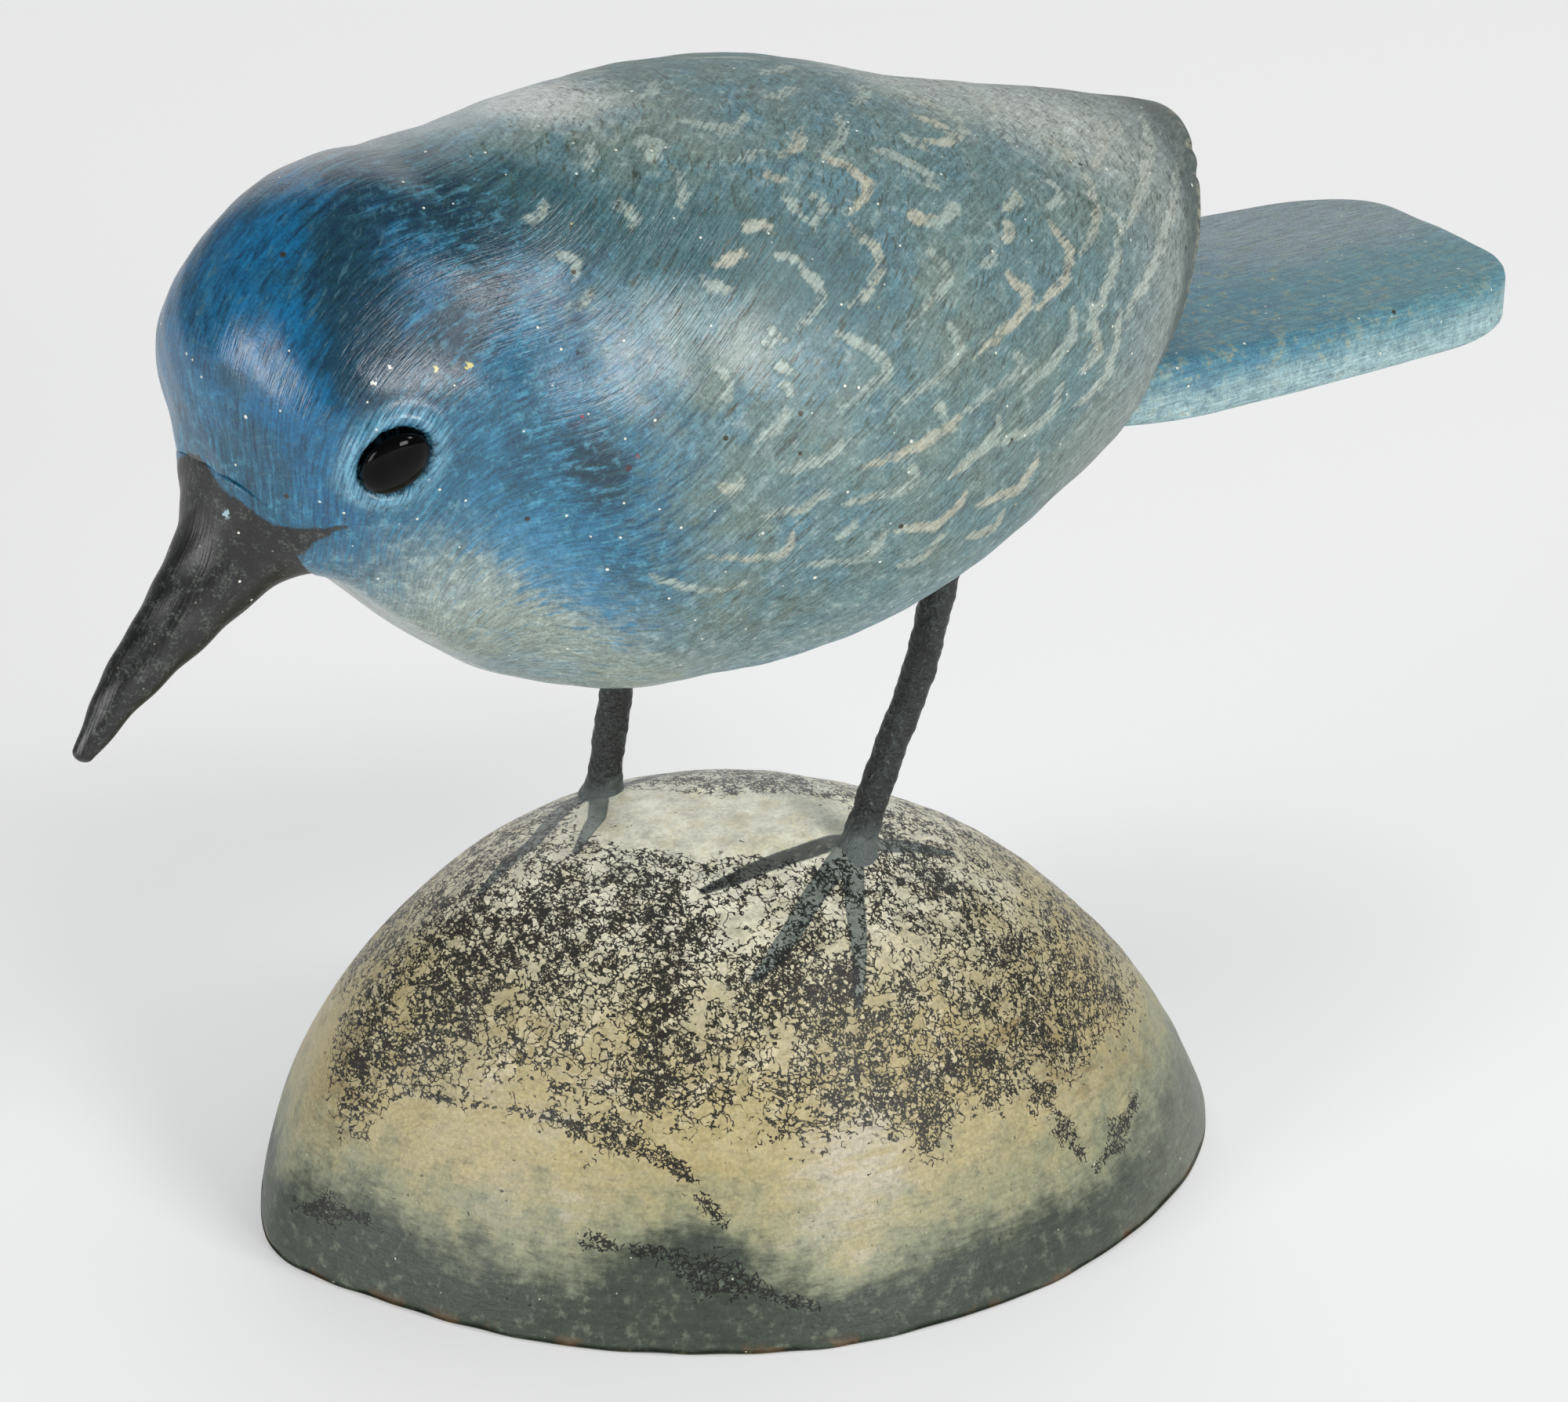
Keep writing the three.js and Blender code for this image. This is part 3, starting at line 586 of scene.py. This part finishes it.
# round the eyes: a thin ring of pale turquoise putty with a broken dark line against the glass
paint = oil.lay(paint, (112, 164, 186), oil.step(oil.sum(ring, mottle, 1.6), 2.3, 1.5),
                oil.step(bristle, 0.3, 0.6, 0.8))
paint = oil.lay(paint, (10, 20, 28), oil.step(oil.sum(ring, mottle, 0.9), 0.66, 0.52),
                oil.step(mottle, 0.42, 0.48))
# bill: black with grey where it is rubbed
horn = oil.lay((3, 4, 3), (62, 68, 62), oil.step(oil.sum(mottle, grain, 0.9), 0.94, 1.16))
horn = oil.lay(horn, (5, 6, 6), oil.step(patch, 0.48, 0.6, 0.8))
horn = oil.lay(horn, (124, 122, 104), oil.specks(2.2, 0.16, 0.16))
paint = oil.lay(paint, horn, oil.step(oil.sum(oil.mark("black"), mottle, 1), 0.4, 0.65))
# all of it is lighter and darker from one bristle mark to the next
depth = oil.sum(oil.step(mottle, 0.3, 0.7, 0.3), bristle, 1.5, grain, 1.4, -0.6)
paint = oil.shaded(paint, depth)
# dust, chips and spatters
for scale, size, share, tint in ((0.5, 0.10, 0.10, (50, 44, 34)), (1.1, 0.11, 0.26, (232, 234, 220)),
                                 (0.45, 0.06, 0.3, (236, 236, 224)), (0.40, 0.04, 0.4, (214, 190, 120))):
    paint = oil.lay(paint, tint, oil.specks(scale, size, share))
# single spots of paint and chips on the left side: middle, radius and colour
SPOTS = [
    [(-18.9, -11.2, 62.2), 0.17, (16, 16, 16)], [(-19.3, -12.0, 58.9), 0.15, (150, 40, 36)],
    [(-17.0, -13.0, 55.7), 0.24, (70, 30, 30)], [(-16.5, -13.1, 56.3), 0.15, (150, 40, 36)],
    [(-30.3, -9.1, 62.5), 0.19, (236, 238, 228)], [(-29.4, -9.2, 63.1), 0.15, (236, 238, 228)],
    [(-25.3, -10.4, 62.7), 0.24, (226, 214, 130)], [(-27.1, -10.0, 62.8), 0.17, (226, 214, 130)],
    [(-18.6, -11.6, 51.7), 0.14, (232, 234, 224)], [(-9.9, -15.4, 50.9), 0.16, (232, 234, 224)],
    [(-35.6, -2.4, 54.4), 0.34, (176, 206, 216)], [(-34.8, -3.4, 53.9), 0.26, (200, 206, 200)],
    [(18.1, -9.5, 65.0), 0.22, (34, 36, 32)],
]
for middle, size, tint in SPOTS:
    away = oil.put("VectorMath", {0: oil.place, 1: middle}, 1, operation="DISTANCE")
    paint = oil.lay(paint, tint, oil.step(oil.sum(away, grain, 0.7), size + 0.34, size + 0.26, 0.85))
gloss = oil.sum(oil.step(mottle, 0.3, 0.8, 0.1), bristle, 0.16, 0.15)
gloss = oil.sum(gloss, oil.step(oil.sum(oil.mark("hood"), mottle, 5), -2, -9), 0.42)
gloss = oil.sum(gloss, oil.step(oil.mark("black"), 0, 0.6), 0.12)
relief = oil.sum(oil.product(bristle, 0.034), grain, 0.005, mottle, 0.02)
relief = oil.sum(relief, laid, 0.02, scratch, -0.012)
oil.finish(paint, gloss, relief, 1.0, 0.68, bird)
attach(bird, "root")
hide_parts("carved_bird")

# The eyes: round buttons of black glass with a low dome, set in sockets on either side of the head
# and bedded in putty.
jet = Paint("black_eye_glass")
haze = jet.noise(jet.place, 0.9)
tint = jet.lay((2, 2, 3), (9, 9, 10), jet.step(haze, 0.4, 0.7))
gloss = jet.sum(jet.step(jet.noise(jet.place, 3, 3), 0.3, 0.9, 0.08), 0.05)


def eye_grid(side):
    """A button on the eye's axis, longer along its slope: a straight shank, then a dome whose height is
    0.8 of a millimetre times the sine of an angle, its radius EYE_RADIUS times the cosine."""
    axis, long, short = eye_frame(side)
    bow = np.linspace(0, np.pi / 2, 24)[:-1]
    profile = np.array([[0.4, -1.5], [0.85, -1.5], [0.85, -0.25], [0.97, -0.12]]) * [EYE_RADIUS, 1]
    profile = np.vstack([profile, np.stack([EYE_RADIUS * np.cos(bow), 0.8 * np.sin(bow)], -1)])
    r, h = profile[:, :1, None], profile[:, 1:, None]
    swing = circle(72)
    ring = np.cos(swing)[None, :, None] * long * EYE_LONG + np.sin(swing)[None, :, None] * short
    return EYE_MIDDLE * [1, side, 1] + r * ring + h * axis


eyes = []
for node, side in (("eye_left", -1), ("eye_right", 1)):
    eye = one_mesh(node + "_glass", [(eye_grid(side), {})])
    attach(eye, "root")
    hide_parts(node)
    eyes.append(eye)
jet.finish(tint, gloss, haze, 0.01, 0.12, *eyes)

# The legs: soft iron wire about 2 mm thick, bent by hand, glued into holes in the belly and the
# mound and coated with thick dark paint that has dried in lumps.
WIRE_RADIUS, IN_WOOD = 1.05, 3.5
LEG_BENDS = {
    "leg_left": [[3.9, -6.6, 23.2], [6.5, -6.6, 29.2], [8.6, -6.8, 34.0], [9.9, -7.1, 39.2]],
    "leg_right": [[-4.3, 8.3, 24.1], [-3.5, 8.3, 28.6], [-2.6, 8.2, 33.4], [-1.5, 8.2, 38.8]],
}


def leg_grid(bends):
    """Level rings along the bent path, run straight on into the wood past each end. The wire's radius
    swells by products of sines into lumps of 8%, and by half at the foot over the last millimetre."""
    bends = np.array(bends)
    path = through(bends, np.linspace(0, 1, 150))
    down = (path[0] - path[1]) / (path[1] - path[0])[2]
    up = (path[-1] - path[-2]) / (path[-1] - path[-2])[2]
    low = path[0] + np.linspace(IN_WOOD, 0, 16)[:-1, None] * down
    high = path[-1] + np.linspace(0, IN_WOOD, 16)[1:, None] * up
    path = np.vstack([low, path, high])[:, None, :]
    swing = circle(60)[None, :, None]
    out = np.concatenate([np.cos(swing), np.sin(swing), 0 * swing], -1)
    p = path + out
    lumps = 0.05 * np.sin(p @ [1.9, 1.3, 2.2]) * np.sin(p @ [-1.1, 2.4, 1.6] + 0.7)
    lumps += 0.03 * np.sin(p @ [3.7, -2.9, 4.4] + 1.1) * np.sin(p @ [2.1, 4.3, -3.2])
    rise = path[..., 2] - bends[0, 2]
    wide = WIRE_RADIUS * (1 + lumps + 0.45 * np.exp(-np.clip(rise, 0, 9) / 0.7))
    return path + wide[..., None] * out


tar = Paint("thick_dark_leg_paint")
clot = tar.noise(tar.place, 1.3, 4, 0.65)
fleck = tar.noise(tar.place, 4, 3, 0.6)
coat = tar.lay((12, 15, 14), (54, 62, 58), tar.step(tar.sum(clot, fleck, 0.7), 0.82, 1.1))
coat = tar.lay(coat, (118, 128, 118), tar.step(fleck, 0.62, 0.72), tar.step(clot, 0.45, 0.6, 0.8))
low = tar.put("SeparateXYZ", {0: tar.place}, 2)
coat = tar.lay(coat, (98, 108, 104), tar.step(tar.sum(low, clot, 3), 27.4, 25.6, 0.8))
legs = []
for node, bends in LEG_BENDS.items():
    leg = one_mesh(node + "_wire", [(leg_grid(bends), {})])
    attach(leg, "root")
    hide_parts(node)
    legs.append(leg)
gloss = tar.sum(tar.step(clot, 0.3, 0.7, 0.3), 0.3)
tar.finish(coat, gloss, tar.sum(clot, fleck, 0.4), 0.35, 0.6, *legs)

# The mound: a half-egg of wood with an oval foot, turned a little under the bird, painted cream over
# slate and stippled all over in black. The bird's toes are painted on it, four to each foot.
MOUND_TURN = circle(420)[None, :]
MOUND_HALF_LONG, MOUND_HALF_WIDE, MOUND_HIGH, OVAL, TURNED = 30.9, 24.4, 24.7, 1.86, math.radians(-24)
DOME_ROWS, SOLE_ROWS, DARK_TOES = 190, 14, (0, 6)


def mound_grid(rise):
    """An oval plan, a superellipse with a 4.5% swell at one corner, turned a little under the bird, drawn
    in by a power of the cosine of the rise and lifted by a power of its sine."""
    rise = rise[:, None] * np.pi / 2
    plan = 1 + 0.045 * hill((MOUND_TURN - 3.44) / 0.22)
    c, s = rounded(MOUND_TURN, OVAL)
    c, s = c * MOUND_HALF_LONG * plan, s * MOUND_HALF_WIDE * plan
    r = np.cos(rise) ** (2 / (2.41 - 0.3 * np.cos(MOUND_TURN) - 0.46 * np.sin(MOUND_TURN)))
    lift = np.sin(rise) ** (2 / 1.35)
    x = 1.3 + (c * math.cos(TURNED) - s * math.sin(TURNED)) * r - 0.1 * lift
    y = 1.5 + (c * math.sin(TURNED) + s * math.cos(TURNED)) * r + lift
    return np.stack([x, y, MOUND_HIGH * lift + 0 * r], -1)


dome = mound_grid(np.linspace(0, 0.995, DOME_ROWS))
sole = np.linspace(0.04, 0.985, SOLE_ROWS)[:, None, None]
dome = np.concatenate([dome[0].mean(0) + (dome[0] - dome[0].mean(0)) * sole, dome])
# its lower edge is rounded and chipped, and paste is built up a little round each wire
swell = 0.10 * np.sin(dome @ [0.23, 0.11, 0.17]) * np.sin(dome @ [-0.15, 0.31, 0.2] + 0.8)
swell += 0.04 * np.sin(dome @ [0.9, 0.7, -0.6]) * np.sin(dome @ [-0.6, 1.1, 0.9] + 0.4)
edge_wear = hill(dome[..., 2] / 0.40)
swell -= edge_wear * (0.22 + 0.06 * np.sin(dome @ [0.7, -0.4, 0]) * np.sin(dome @ [-0.3, 0.9, 0] + 2))
for bends in LEG_BENDS.values():
    swell += 0.55 * hill(np.linalg.norm(dome - bends[0], axis=-1) / 1.9)
swell[:SOLE_ROWS] = 0
TOES = [
    [[4.2, -6.2, 23.5], [3.0, -5.7, 23.8], [-0.6, -5.4, 23.9], [-4.0, -5.2, 23.6], [-6.2, -4.8, 23.3]],
    [[4.2, -6.4, 23.4], [2.6, -7.0, 23.4], [-0.5, -8.4, 22.7], [-3.4, -9.8, 21.6], [-5.4, -10.4, 20.6],
     [-6.9, -10.6, 19.9]],
    [[4.2, -6.6, 23.4], [3.4, -7.0, 23.3], [1.5, -9.7, 22.1], [-0.1, -12.1, 20.4], [-1.8, -14.2, 18.1]],
    [[4.2, -6.4, 23.4], [5.1, -6.4, 23.3], [8.2, -6.8, 22.6], [11.1, -7.5, 21.4]],
    [[-4.3, 8.3, 24.1], [-6.7, 9.0, 23.5], [-10.6, 6.8, 23.2], [-13.3, 6.3, 22.4], [-15.2, 5.9, 21.5]],
    [[-4.3, 8.3, 24.1], [-3.7, 9.0, 23.7], [-6.8, 5.4, 24.2], [-9.8, 3.3, 23.7]],
    [[-4.3, 8.6, 24.0], [-6.8, 11.4, 23.2], [-9.4, 13.4, 21.6]],
    [[-4.3, 8.3, 24.1], [1.0, 9.5, 23.4], [3.4, 9.8, 22.9]],
]
toe, toe_dark = np.full(dome.shape[:2], -3.0), np.zeros(dome.shape[:2])
for k, line in enumerate(TOES):
    d, place = along_line(dome, line)
    cover = np.interp(place, [0, 0.7, 1], [0.85, 0.6, 0.3]) - d
    toe_dark = np.where(cover > toe, float(k in DARK_TOES), toe_dark)
    toe = np.maximum(toe, cover)
# The stipple: a veil of little rings and squiggles over the upper half, massed in dark clumps, drawn
# out into chains low on the sides, bare between the feet. Each clump has a middle, a reach and a weight,
# and a weight below zero thins the veil.
CLUMPS = [
    [-16.1, 7.4, 20.8, 2.6, 0.4], [-18.0, 3.6, 19.5, 2.6, 0.6], [-19.3, 3.4, 18.2, 2.4, 0.6],
    [-21.7, 2.1, 14.9, 2.6, 0.6], [-12.9, 0.8, 22.2, 2.6, 0.6], [-14.5, 0.0, 21.3, 2.4, 0.5],
    [-23.9, 7.1, 13.5, 2.4, 0.5], [-24.3, 4.8, 12.5, 2.4, 0.6], [-26.1, 4.4, 9.4, 2.0, 0.4],
    [-8.8, -4.3, 22.6, 1.4, 0.6], [-10.2, -6.0, 21.2, 1.4, 0.7], [-11.6, -7.4, 19.6, 1.4, 0.9],
    [-12.9, -8.8, 17.5, 1.4, 0.8], [-14.3, -10.0, 15.0, 1.5, 0.7], [-10.5, -11.1, 17.3, 2.4, 0.3],
    [-6.5, -11.5, 19.3, 2.2, 0.5], [-4.6, -12.6, 18.6, 1.8, 0.6], [-3.3, -14.5, 17.4, 1.8, 0.5],
    [-2.7, -11.2, 20.7, 1.6, 0.4], [-0.9, -13.5, 19.0, 1.8, 0.5], [-1.4, -16.6, 15.2, 2.2, 0.5],
    [4.2, -18.3, 13.2, 2.2, 0.6], [-0.3, -19.7, 10.1, 1.4, 0.6], [11.8, -17.8, 12.1, 2.0, 0.4],
    [9.0, -9.9, 20.9, 2.4, 0.4], [4.2, -9.2, 22.2, 1.8, 0.3], [8.1, -7.4, 22.4, 2.0, 0.4],
    [-7.7, -16.8, 11.8, 2.0, 0.3], [-8.5, -2.5, 23.2, 2.0, 0.3], [4.2, 4.5, 24.2, 3.0, 0.5],
    [10.7, -14.5, 16.7, 3.0, 0.2], [-17.0, 14.0, 14.5, 4.0, 0.4], [-8.0, 16.0, 18.5, 4.0, 0.4],
    [4.0, 19.0, 15.5, 4.0, 0.4], [14.0, 12.0, 17.0, 4.0, 0.4], [21.0, 3.0, 16.5, 4.0, 0.4],
    [-25.1, 6.5, 11.6, 2.6, 0.6], [8.9, -16.6, 14.9, 3.0, 0.3], [16.2, -14.2, 14.1, 3.0, 0.3],
    [-0.4, -18.9, 11.7, 1.8, 0.5], [-3.8, -17.1, 13.7, 1.8, 0.4], [-9.4, -6.9, 21.2, 1.4, 0.5],
    [-12.3, -8.1, 18.6, 1.3, 0.7], [-11.0, -3.5, 22.0, 1.4, 0.4], [-5.2, -8.3, 22.0, 1.8, -0.4],
    [-10.0, -12.2, 16.4, 2.2, -0.25], [-15.2, -6.1, 17.6, 1.9, -0.25], [-18.9, -2.4, 16.1, 2.4, -0.2],
    [-6.9, -13.6, 17.0, 1.6, -0.3], [-8.2, -9.4, 20.4, 1.2, -0.3], [1.5, -12.5, 20.0, 1.6, -0.4],
    [12.5, -10.5, 19.0, 2.5, -0.4],
]
# broad patches of the paint below it, pale above zero, which is painted sheen, and ochre below, and how far
# the slate foot rises
PAINTED_SHEEN_AND_OCHRE_PATCHES = [
    [-21.5, -5.0, 9.8, 4.6, 0.9], [-5.6, -18.2, 10.3, 4.6, 0.9], [-9.0, -19.5, 6.5, 3.0, 0.5],
    [9.9, -17.8, 12.9, 5.0, -0.55], [17.9, -17.0, 8.6, 4.2, -0.8], [-26.2, 6.7, 9.7, 4.2, -0.8],
    [-13.5, -14.0, 9.5, 3.0, -0.7], [-22.0, 16.0, 9.0, 5.0, -0.6], [3.7, -17.0, 14.5, 3.5, -0.5],
]
TIDE = [
    [-15.5, -15.0, 5.6, 3.6, 4.0], [21.0, -16.5, 6.5, 6.0, 1.6], [-6.5, -19.8, 6.0, 3.4, -3.0],
    [-27.5, 3.0, 6.0, 3.5, 2.0], [25.0, 0.0, 7.0, 8.0, 2.0], [5.0, 24.0, 6.0, 8.0, 2.0],
]
sheen_and_ochre_mark, tide_mark = np.zeros(dome.shape[:2]), np.zeros(dome.shape[:2])
for mark, spots in ((sheen_and_ochre_mark, PAINTED_SHEEN_AND_OCHRE_PATCHES), (tide_mark, TIDE)):
    for cx, cy, cz, size, weight in spots:
        mark += weight * spot(dome, [cx, cy, cz], size)
CHAINS = [
    [[-23.9, 3.1, 12.2], [-21.5, -1.9, 12.8], [-18.3, -7.1, 13.0], [-16.1, -10.3, 12.4],
     [-14.0, -13.6, 10.5], [-13.2, -15.6, 7.9]],
    [[-19.3, -10.6, 6.7], [-16.1, -14.1, 6.1], [-12.8, -17.3, 4.3], [-9.5, -19.8, 2.7]],
    [[-28.7, 7.3, 3.9], [-26.9, 2.0, 4.9]], [[8.4, -19.6, 10.4], [10.2, -21.3, 6.4]],
    [[16.8, -19.0, 7.1], [11.3, -21.5, 5.3]], [[6.1, -19.3, 11.4], [9.2, -19.4, 10.6]],
    [[-9.7, -5.4, 21.8], [-11.8, -8.6, 18.6], [-13.9, -10.8, 14.5]],
]
stipple = -0.28 + 0.86 * soft(dome[..., 2] + 0.08 * dome[..., 0], 8.0, 15.0)
for cx, cy, cz, size, weight in CLUMPS:
    stipple += weight * spot(dome, [cx, cy, cz], size)
between_feet = along_line(dome, [[-4.9, 4.2, 24.3], [-2.2, 0.2, 24.6], [3.2, -3.4, 24.3]])[0]
stipple -= 1.4 * soft(-between_feet, -4.2, -2.2)
for line in CHAINS:
    d, place = along_line(dome, line)
    stipple = np.maximum(stipple, 0.95 * hill(d * (1 + 0.6 * np.sin(9 * place)) / 0.55))
dome = dome + outward(dome) * swell[..., None]
mound_marks = {"toe": toe, "toe_dark": toe_dark, "stipple": stipple, "tone": sheen_and_ochre_mark, "tide": tide_mark}
mound = one_mesh("domed_mound_painted", [(dome, mound_marks)])

wood = Paint("stippled_paint_on_wood")
x, y, z = (wood.put("SeparateXYZ", {0: wood.place}, k) for k in range(3))
cloud = wood.noise(wood.place, 0.11, 2)
patch = wood.noise(wood.place, 0.35, 3)
clump = wood.noise(wood.place, 0.65, 3, 0.6)
mottle = wood.noise(wood.place, 1.3, 4, 0.65)
grain = wood.noise(wood.place, 4.5, 3, 0.6)
flat = wood.put("Mapping", {"Vector": wood.place, "Scale": (0.45, 0.6, 2.2), "Rotation": (0.5, 0.6, 0.3)})
smear = wood.noise(flat, 1.3, 5, 0.7)
drag = wood.put("Mapping", {"Vector": wood.place, "Scale": (0.5, 0.6, 2), "Rotation": (-0.5, 0.7, 0.6)})
wash = wood.noise(drag, 0.45, 5, 0.7)
tone = wood.sum(wood.mark("tone"), wood.sum(wash, -0.5), 4.5)
height = wood.sum(z, patch, 6, smear, 2.5, wood.mark("tide"), -1)
paint = wood.lay((184, 173, 134), (240, 235, 213), wood.step(height, 20, 29.5))
# painted sheen: paler patches low on the sides, where the patches' weight is above zero
paint = wood.lay(paint, (196, 187, 164), wood.step(tone, 0.25, 0.9, 0.85), wood.step(height, 24, 18))
paint = wood.lay(paint, (150, 130, 86), wood.step(tone, -0.2, -1, 0.8), wood.step(height, 26, 20))
paint = wood.lay(paint, (184, 169, 122), wood.step(cloud, 0.44, 0.6, 0.8), wood.step(height, 27, 18))
paint = wood.lay(paint, (216, 206, 174), wood.step(clump, 0.48, 0.62, 0.7), wood.step(height, 15, 20))
paint = wood.lay(paint, (150, 138, 96), wood.step(smear, 0.5, 0.62, 0.65), wood.step(height, 27, 18))
paint = wood.lay(paint, (146, 142, 116), wood.step(mottle, 0.5, 0.66, 0.6), wood.step(height, 21, 14))
paint = wood.lay(paint, (128, 136, 112), wood.step(wood.sum(height, clump, 9), 20, 13.5, 0.85))
slate = wood.lay((60, 68, 57), (106, 110, 96), wood.step(wood.sum(x, patch, 14), 12, 34))
paint = wood.lay(paint, slate, wood.step(wood.sum(height, mottle, 2), 12.2, 8.4))
paint = wood.lay(paint, (116, 126, 106), wood.step(mottle, 0.52, 0.7, 0.5), wood.step(z, 8, 3))
# toes: grey blue with darker edges, two of them nearly black, the stipple going over them
foot_paint = wood.lay((112, 122, 116), (36, 42, 42), wood.mark("toe_dark"))
foot_paint = wood.lay(foot_paint, (148, 154, 142), wood.step(mottle, 0.55, 0.75, 0.5))
toe_cover = wood.sum(wood.mark("toe"), grain, 0.2)
foot_paint = wood.lay(foot_paint, (74, 84, 82), wood.step(toe_cover, 0.3, 0.16, 0.8))
on_toe = wood.step(toe_cover, 0.06, 0.18)
paint = wood.lay(paint, foot_paint, on_toe, 0.92)
# stipple: curls along the contours of the noise, broken by a second noise, more of them where it masses
massed = wood.sum(wood.product(clump, 4.5), patch, 1.5, -2)
density = wood.product(wood.mark("stipple"), massed)
ink = 0.0
# each layer of curls: how fine, half a line's width, the density it starts at, its stretch and its turn
CURLS = [
    [1.40, 0.032, 0.24, 1.0, 0.0], [1.55, 0.036, 0.44, 0.5, 0.7], [1.75, 0.042, 0.72, 1.0, 1.4],
    [1.20, 0.060, 1.05, 0.6, 2.3],
]
for scale, thin, least, across, tilt in CURLS:
    turned = {"Location": (40 * tilt, 0, 0), "Rotation": (tilt, tilt, 0), "Scale": (1.0, across, 1.0)}
    at = wood.put("Mapping", {"Vector": wood.place, **turned})
    contour = wood.put("Math", {0: wood.sum(wood.noise(at, scale, 2, 0.55), -0.5)}, operation="ABSOLUTE")
    broken = wood.noise(at, scale * 1.1, 1)
    kept = wood.step(wood.sum(density, broken), least + 0.44, least + 0.54)
    curls = wood.product(wood.step(contour, thin, thin * 0.6), kept)
    ink = wood.put("Math", {0: ink, 1: curls}, operation="MAXIMUM")
paint = wood.lay(paint, (14, 13, 12), ink, wood.step(grain, 0.25, 0.42, 0.97))
# worn edge and dust
paint = wood.lay(paint, (104, 84, 62), wood.step(z, 1.1, 0.3), wood.step(patch, 0.52, 0.6, 0.7))
paint = wood.lay(paint, (206, 208, 190), wood.specks(0.9, 0.07, 0.4), wood.step(z, 13, 5))
depth = wood.sum(wood.step(mottle, 0.3, 0.7, 0.24), grain, 0.9, smear, 1.2, -0.15)
paint = wood.shaded(paint, depth)
gloss = wood.sum(wood.step(mottle, 0.3, 0.8, 0.14), 0.36)
relief = wood.sum(wood.product(smear, 0.07), grain, 0.035, mottle, 0.05)
relief = wood.sum(relief, ink, 0.02)
wood.finish(paint, gloss, relief, 1.0, 0.45, mound)
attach(mound, "root")
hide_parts("domed_mound")

# The plain pale sheet that the carving stands on, soft light from above and from both sides, and the
# camera at the photograph's angle.
bpy.ops.mesh.primitive_plane_add(size=6, location=(0, 0, 0))
floor = bpy.context.object
floor.name = "pale_floor"
sheet = bpy.data.materials.new("pale_floor")
sheet.use_nodes = True
shader = sheet.node_tree.nodes["Principled BSDF"]
shader.inputs["Base Color"].default_value = (0.66, 0.66, 0.66, 1)
shader.inputs["Roughness"].default_value = 0.9
# the sheet also glows evenly of itself, like a lit light table, which keeps it white and the shadows on it
# faint
shader.inputs["Emission Color"].default_value = (1.0, 1.0, 1.0, 1)
shader.inputs["Emission Strength"].default_value = 0.32
floor.data.materials.append(sheet)

world = bpy.data.worlds.new("studio")
bpy.context.scene.world = world
world.use_nodes = True
world.node_tree.nodes["Background"].inputs["Color"].default_value = (0.95, 0.97, 1.0, 1)
world.node_tree.nodes["Background"].inputs["Strength"].default_value = 0.18


def toward(azimuth, elevation):
    """The direction at an azimuth, in radians from the bird's left side toward its tail, and an elevation."""
    level = math.cos(elevation)
    return np.array([math.sin(azimuth) * level, -math.cos(azimuth) * level, math.sin(elevation)])


def soft_box(name, azimuth, elevation, far, size, watts):
    """A square area light turned to the bird from far metres away."""
    light = bpy.data.lights.new(name, "AREA")
    light.size = size
    light.energy = watts
    lamp = bpy.data.objects.new(name, light)
    bpy.context.scene.collection.objects.link(lamp)
    a, e = math.radians(azimuth), math.radians(elevation)
    lamp.location = np.array([0, 0, 0.045]) + toward(a, e) * far
    lamp.rotation_euler = (math.pi / 2 - e, 0, a)
    return lamp


# name, azimuth and elevation in degrees, distance and size in metres, power in watts
soft_box("left_soft_box", -88, 13, 0.9, 0.36, 3.4)
soft_box("near_right_soft_box", 27, 38, 0.9, 0.19, 1.8)
soft_box("low_right_soft_box", 0, 15, 0.9, 0.26, 3.3)
soft_box("rear_soft_box", 142, 28, 1.4, 1.4, 7.0)
soft_box("overhead_soft_box", 60, 80, 1.3, 0.8, 3.2).visible_glossy = False

# the camera stands 240 mm from the point that it looks at
azimuth, elevation = math.radians(-38), math.radians(25)
LOOKS_AT, FAR = np.array([2.0, -2.14, 32.5]) * MM, 0.240
lens = bpy.data.cameras.new("camera")
lens.sensor_width = 36
lens.lens = 90.7
lens.clip_start = 0.01
camera = bpy.data.objects.new("camera", lens)
bpy.context.scene.collection.objects.link(camera)
camera.location = LOOKS_AT + toward(azimuth, elevation) * FAR
camera.rotation_euler = (math.pi / 2 - elevation, 0, azimuth)
bpy.context.scene.camera = camera
bpy.context.scene.view_settings.view_transform = "Standard"
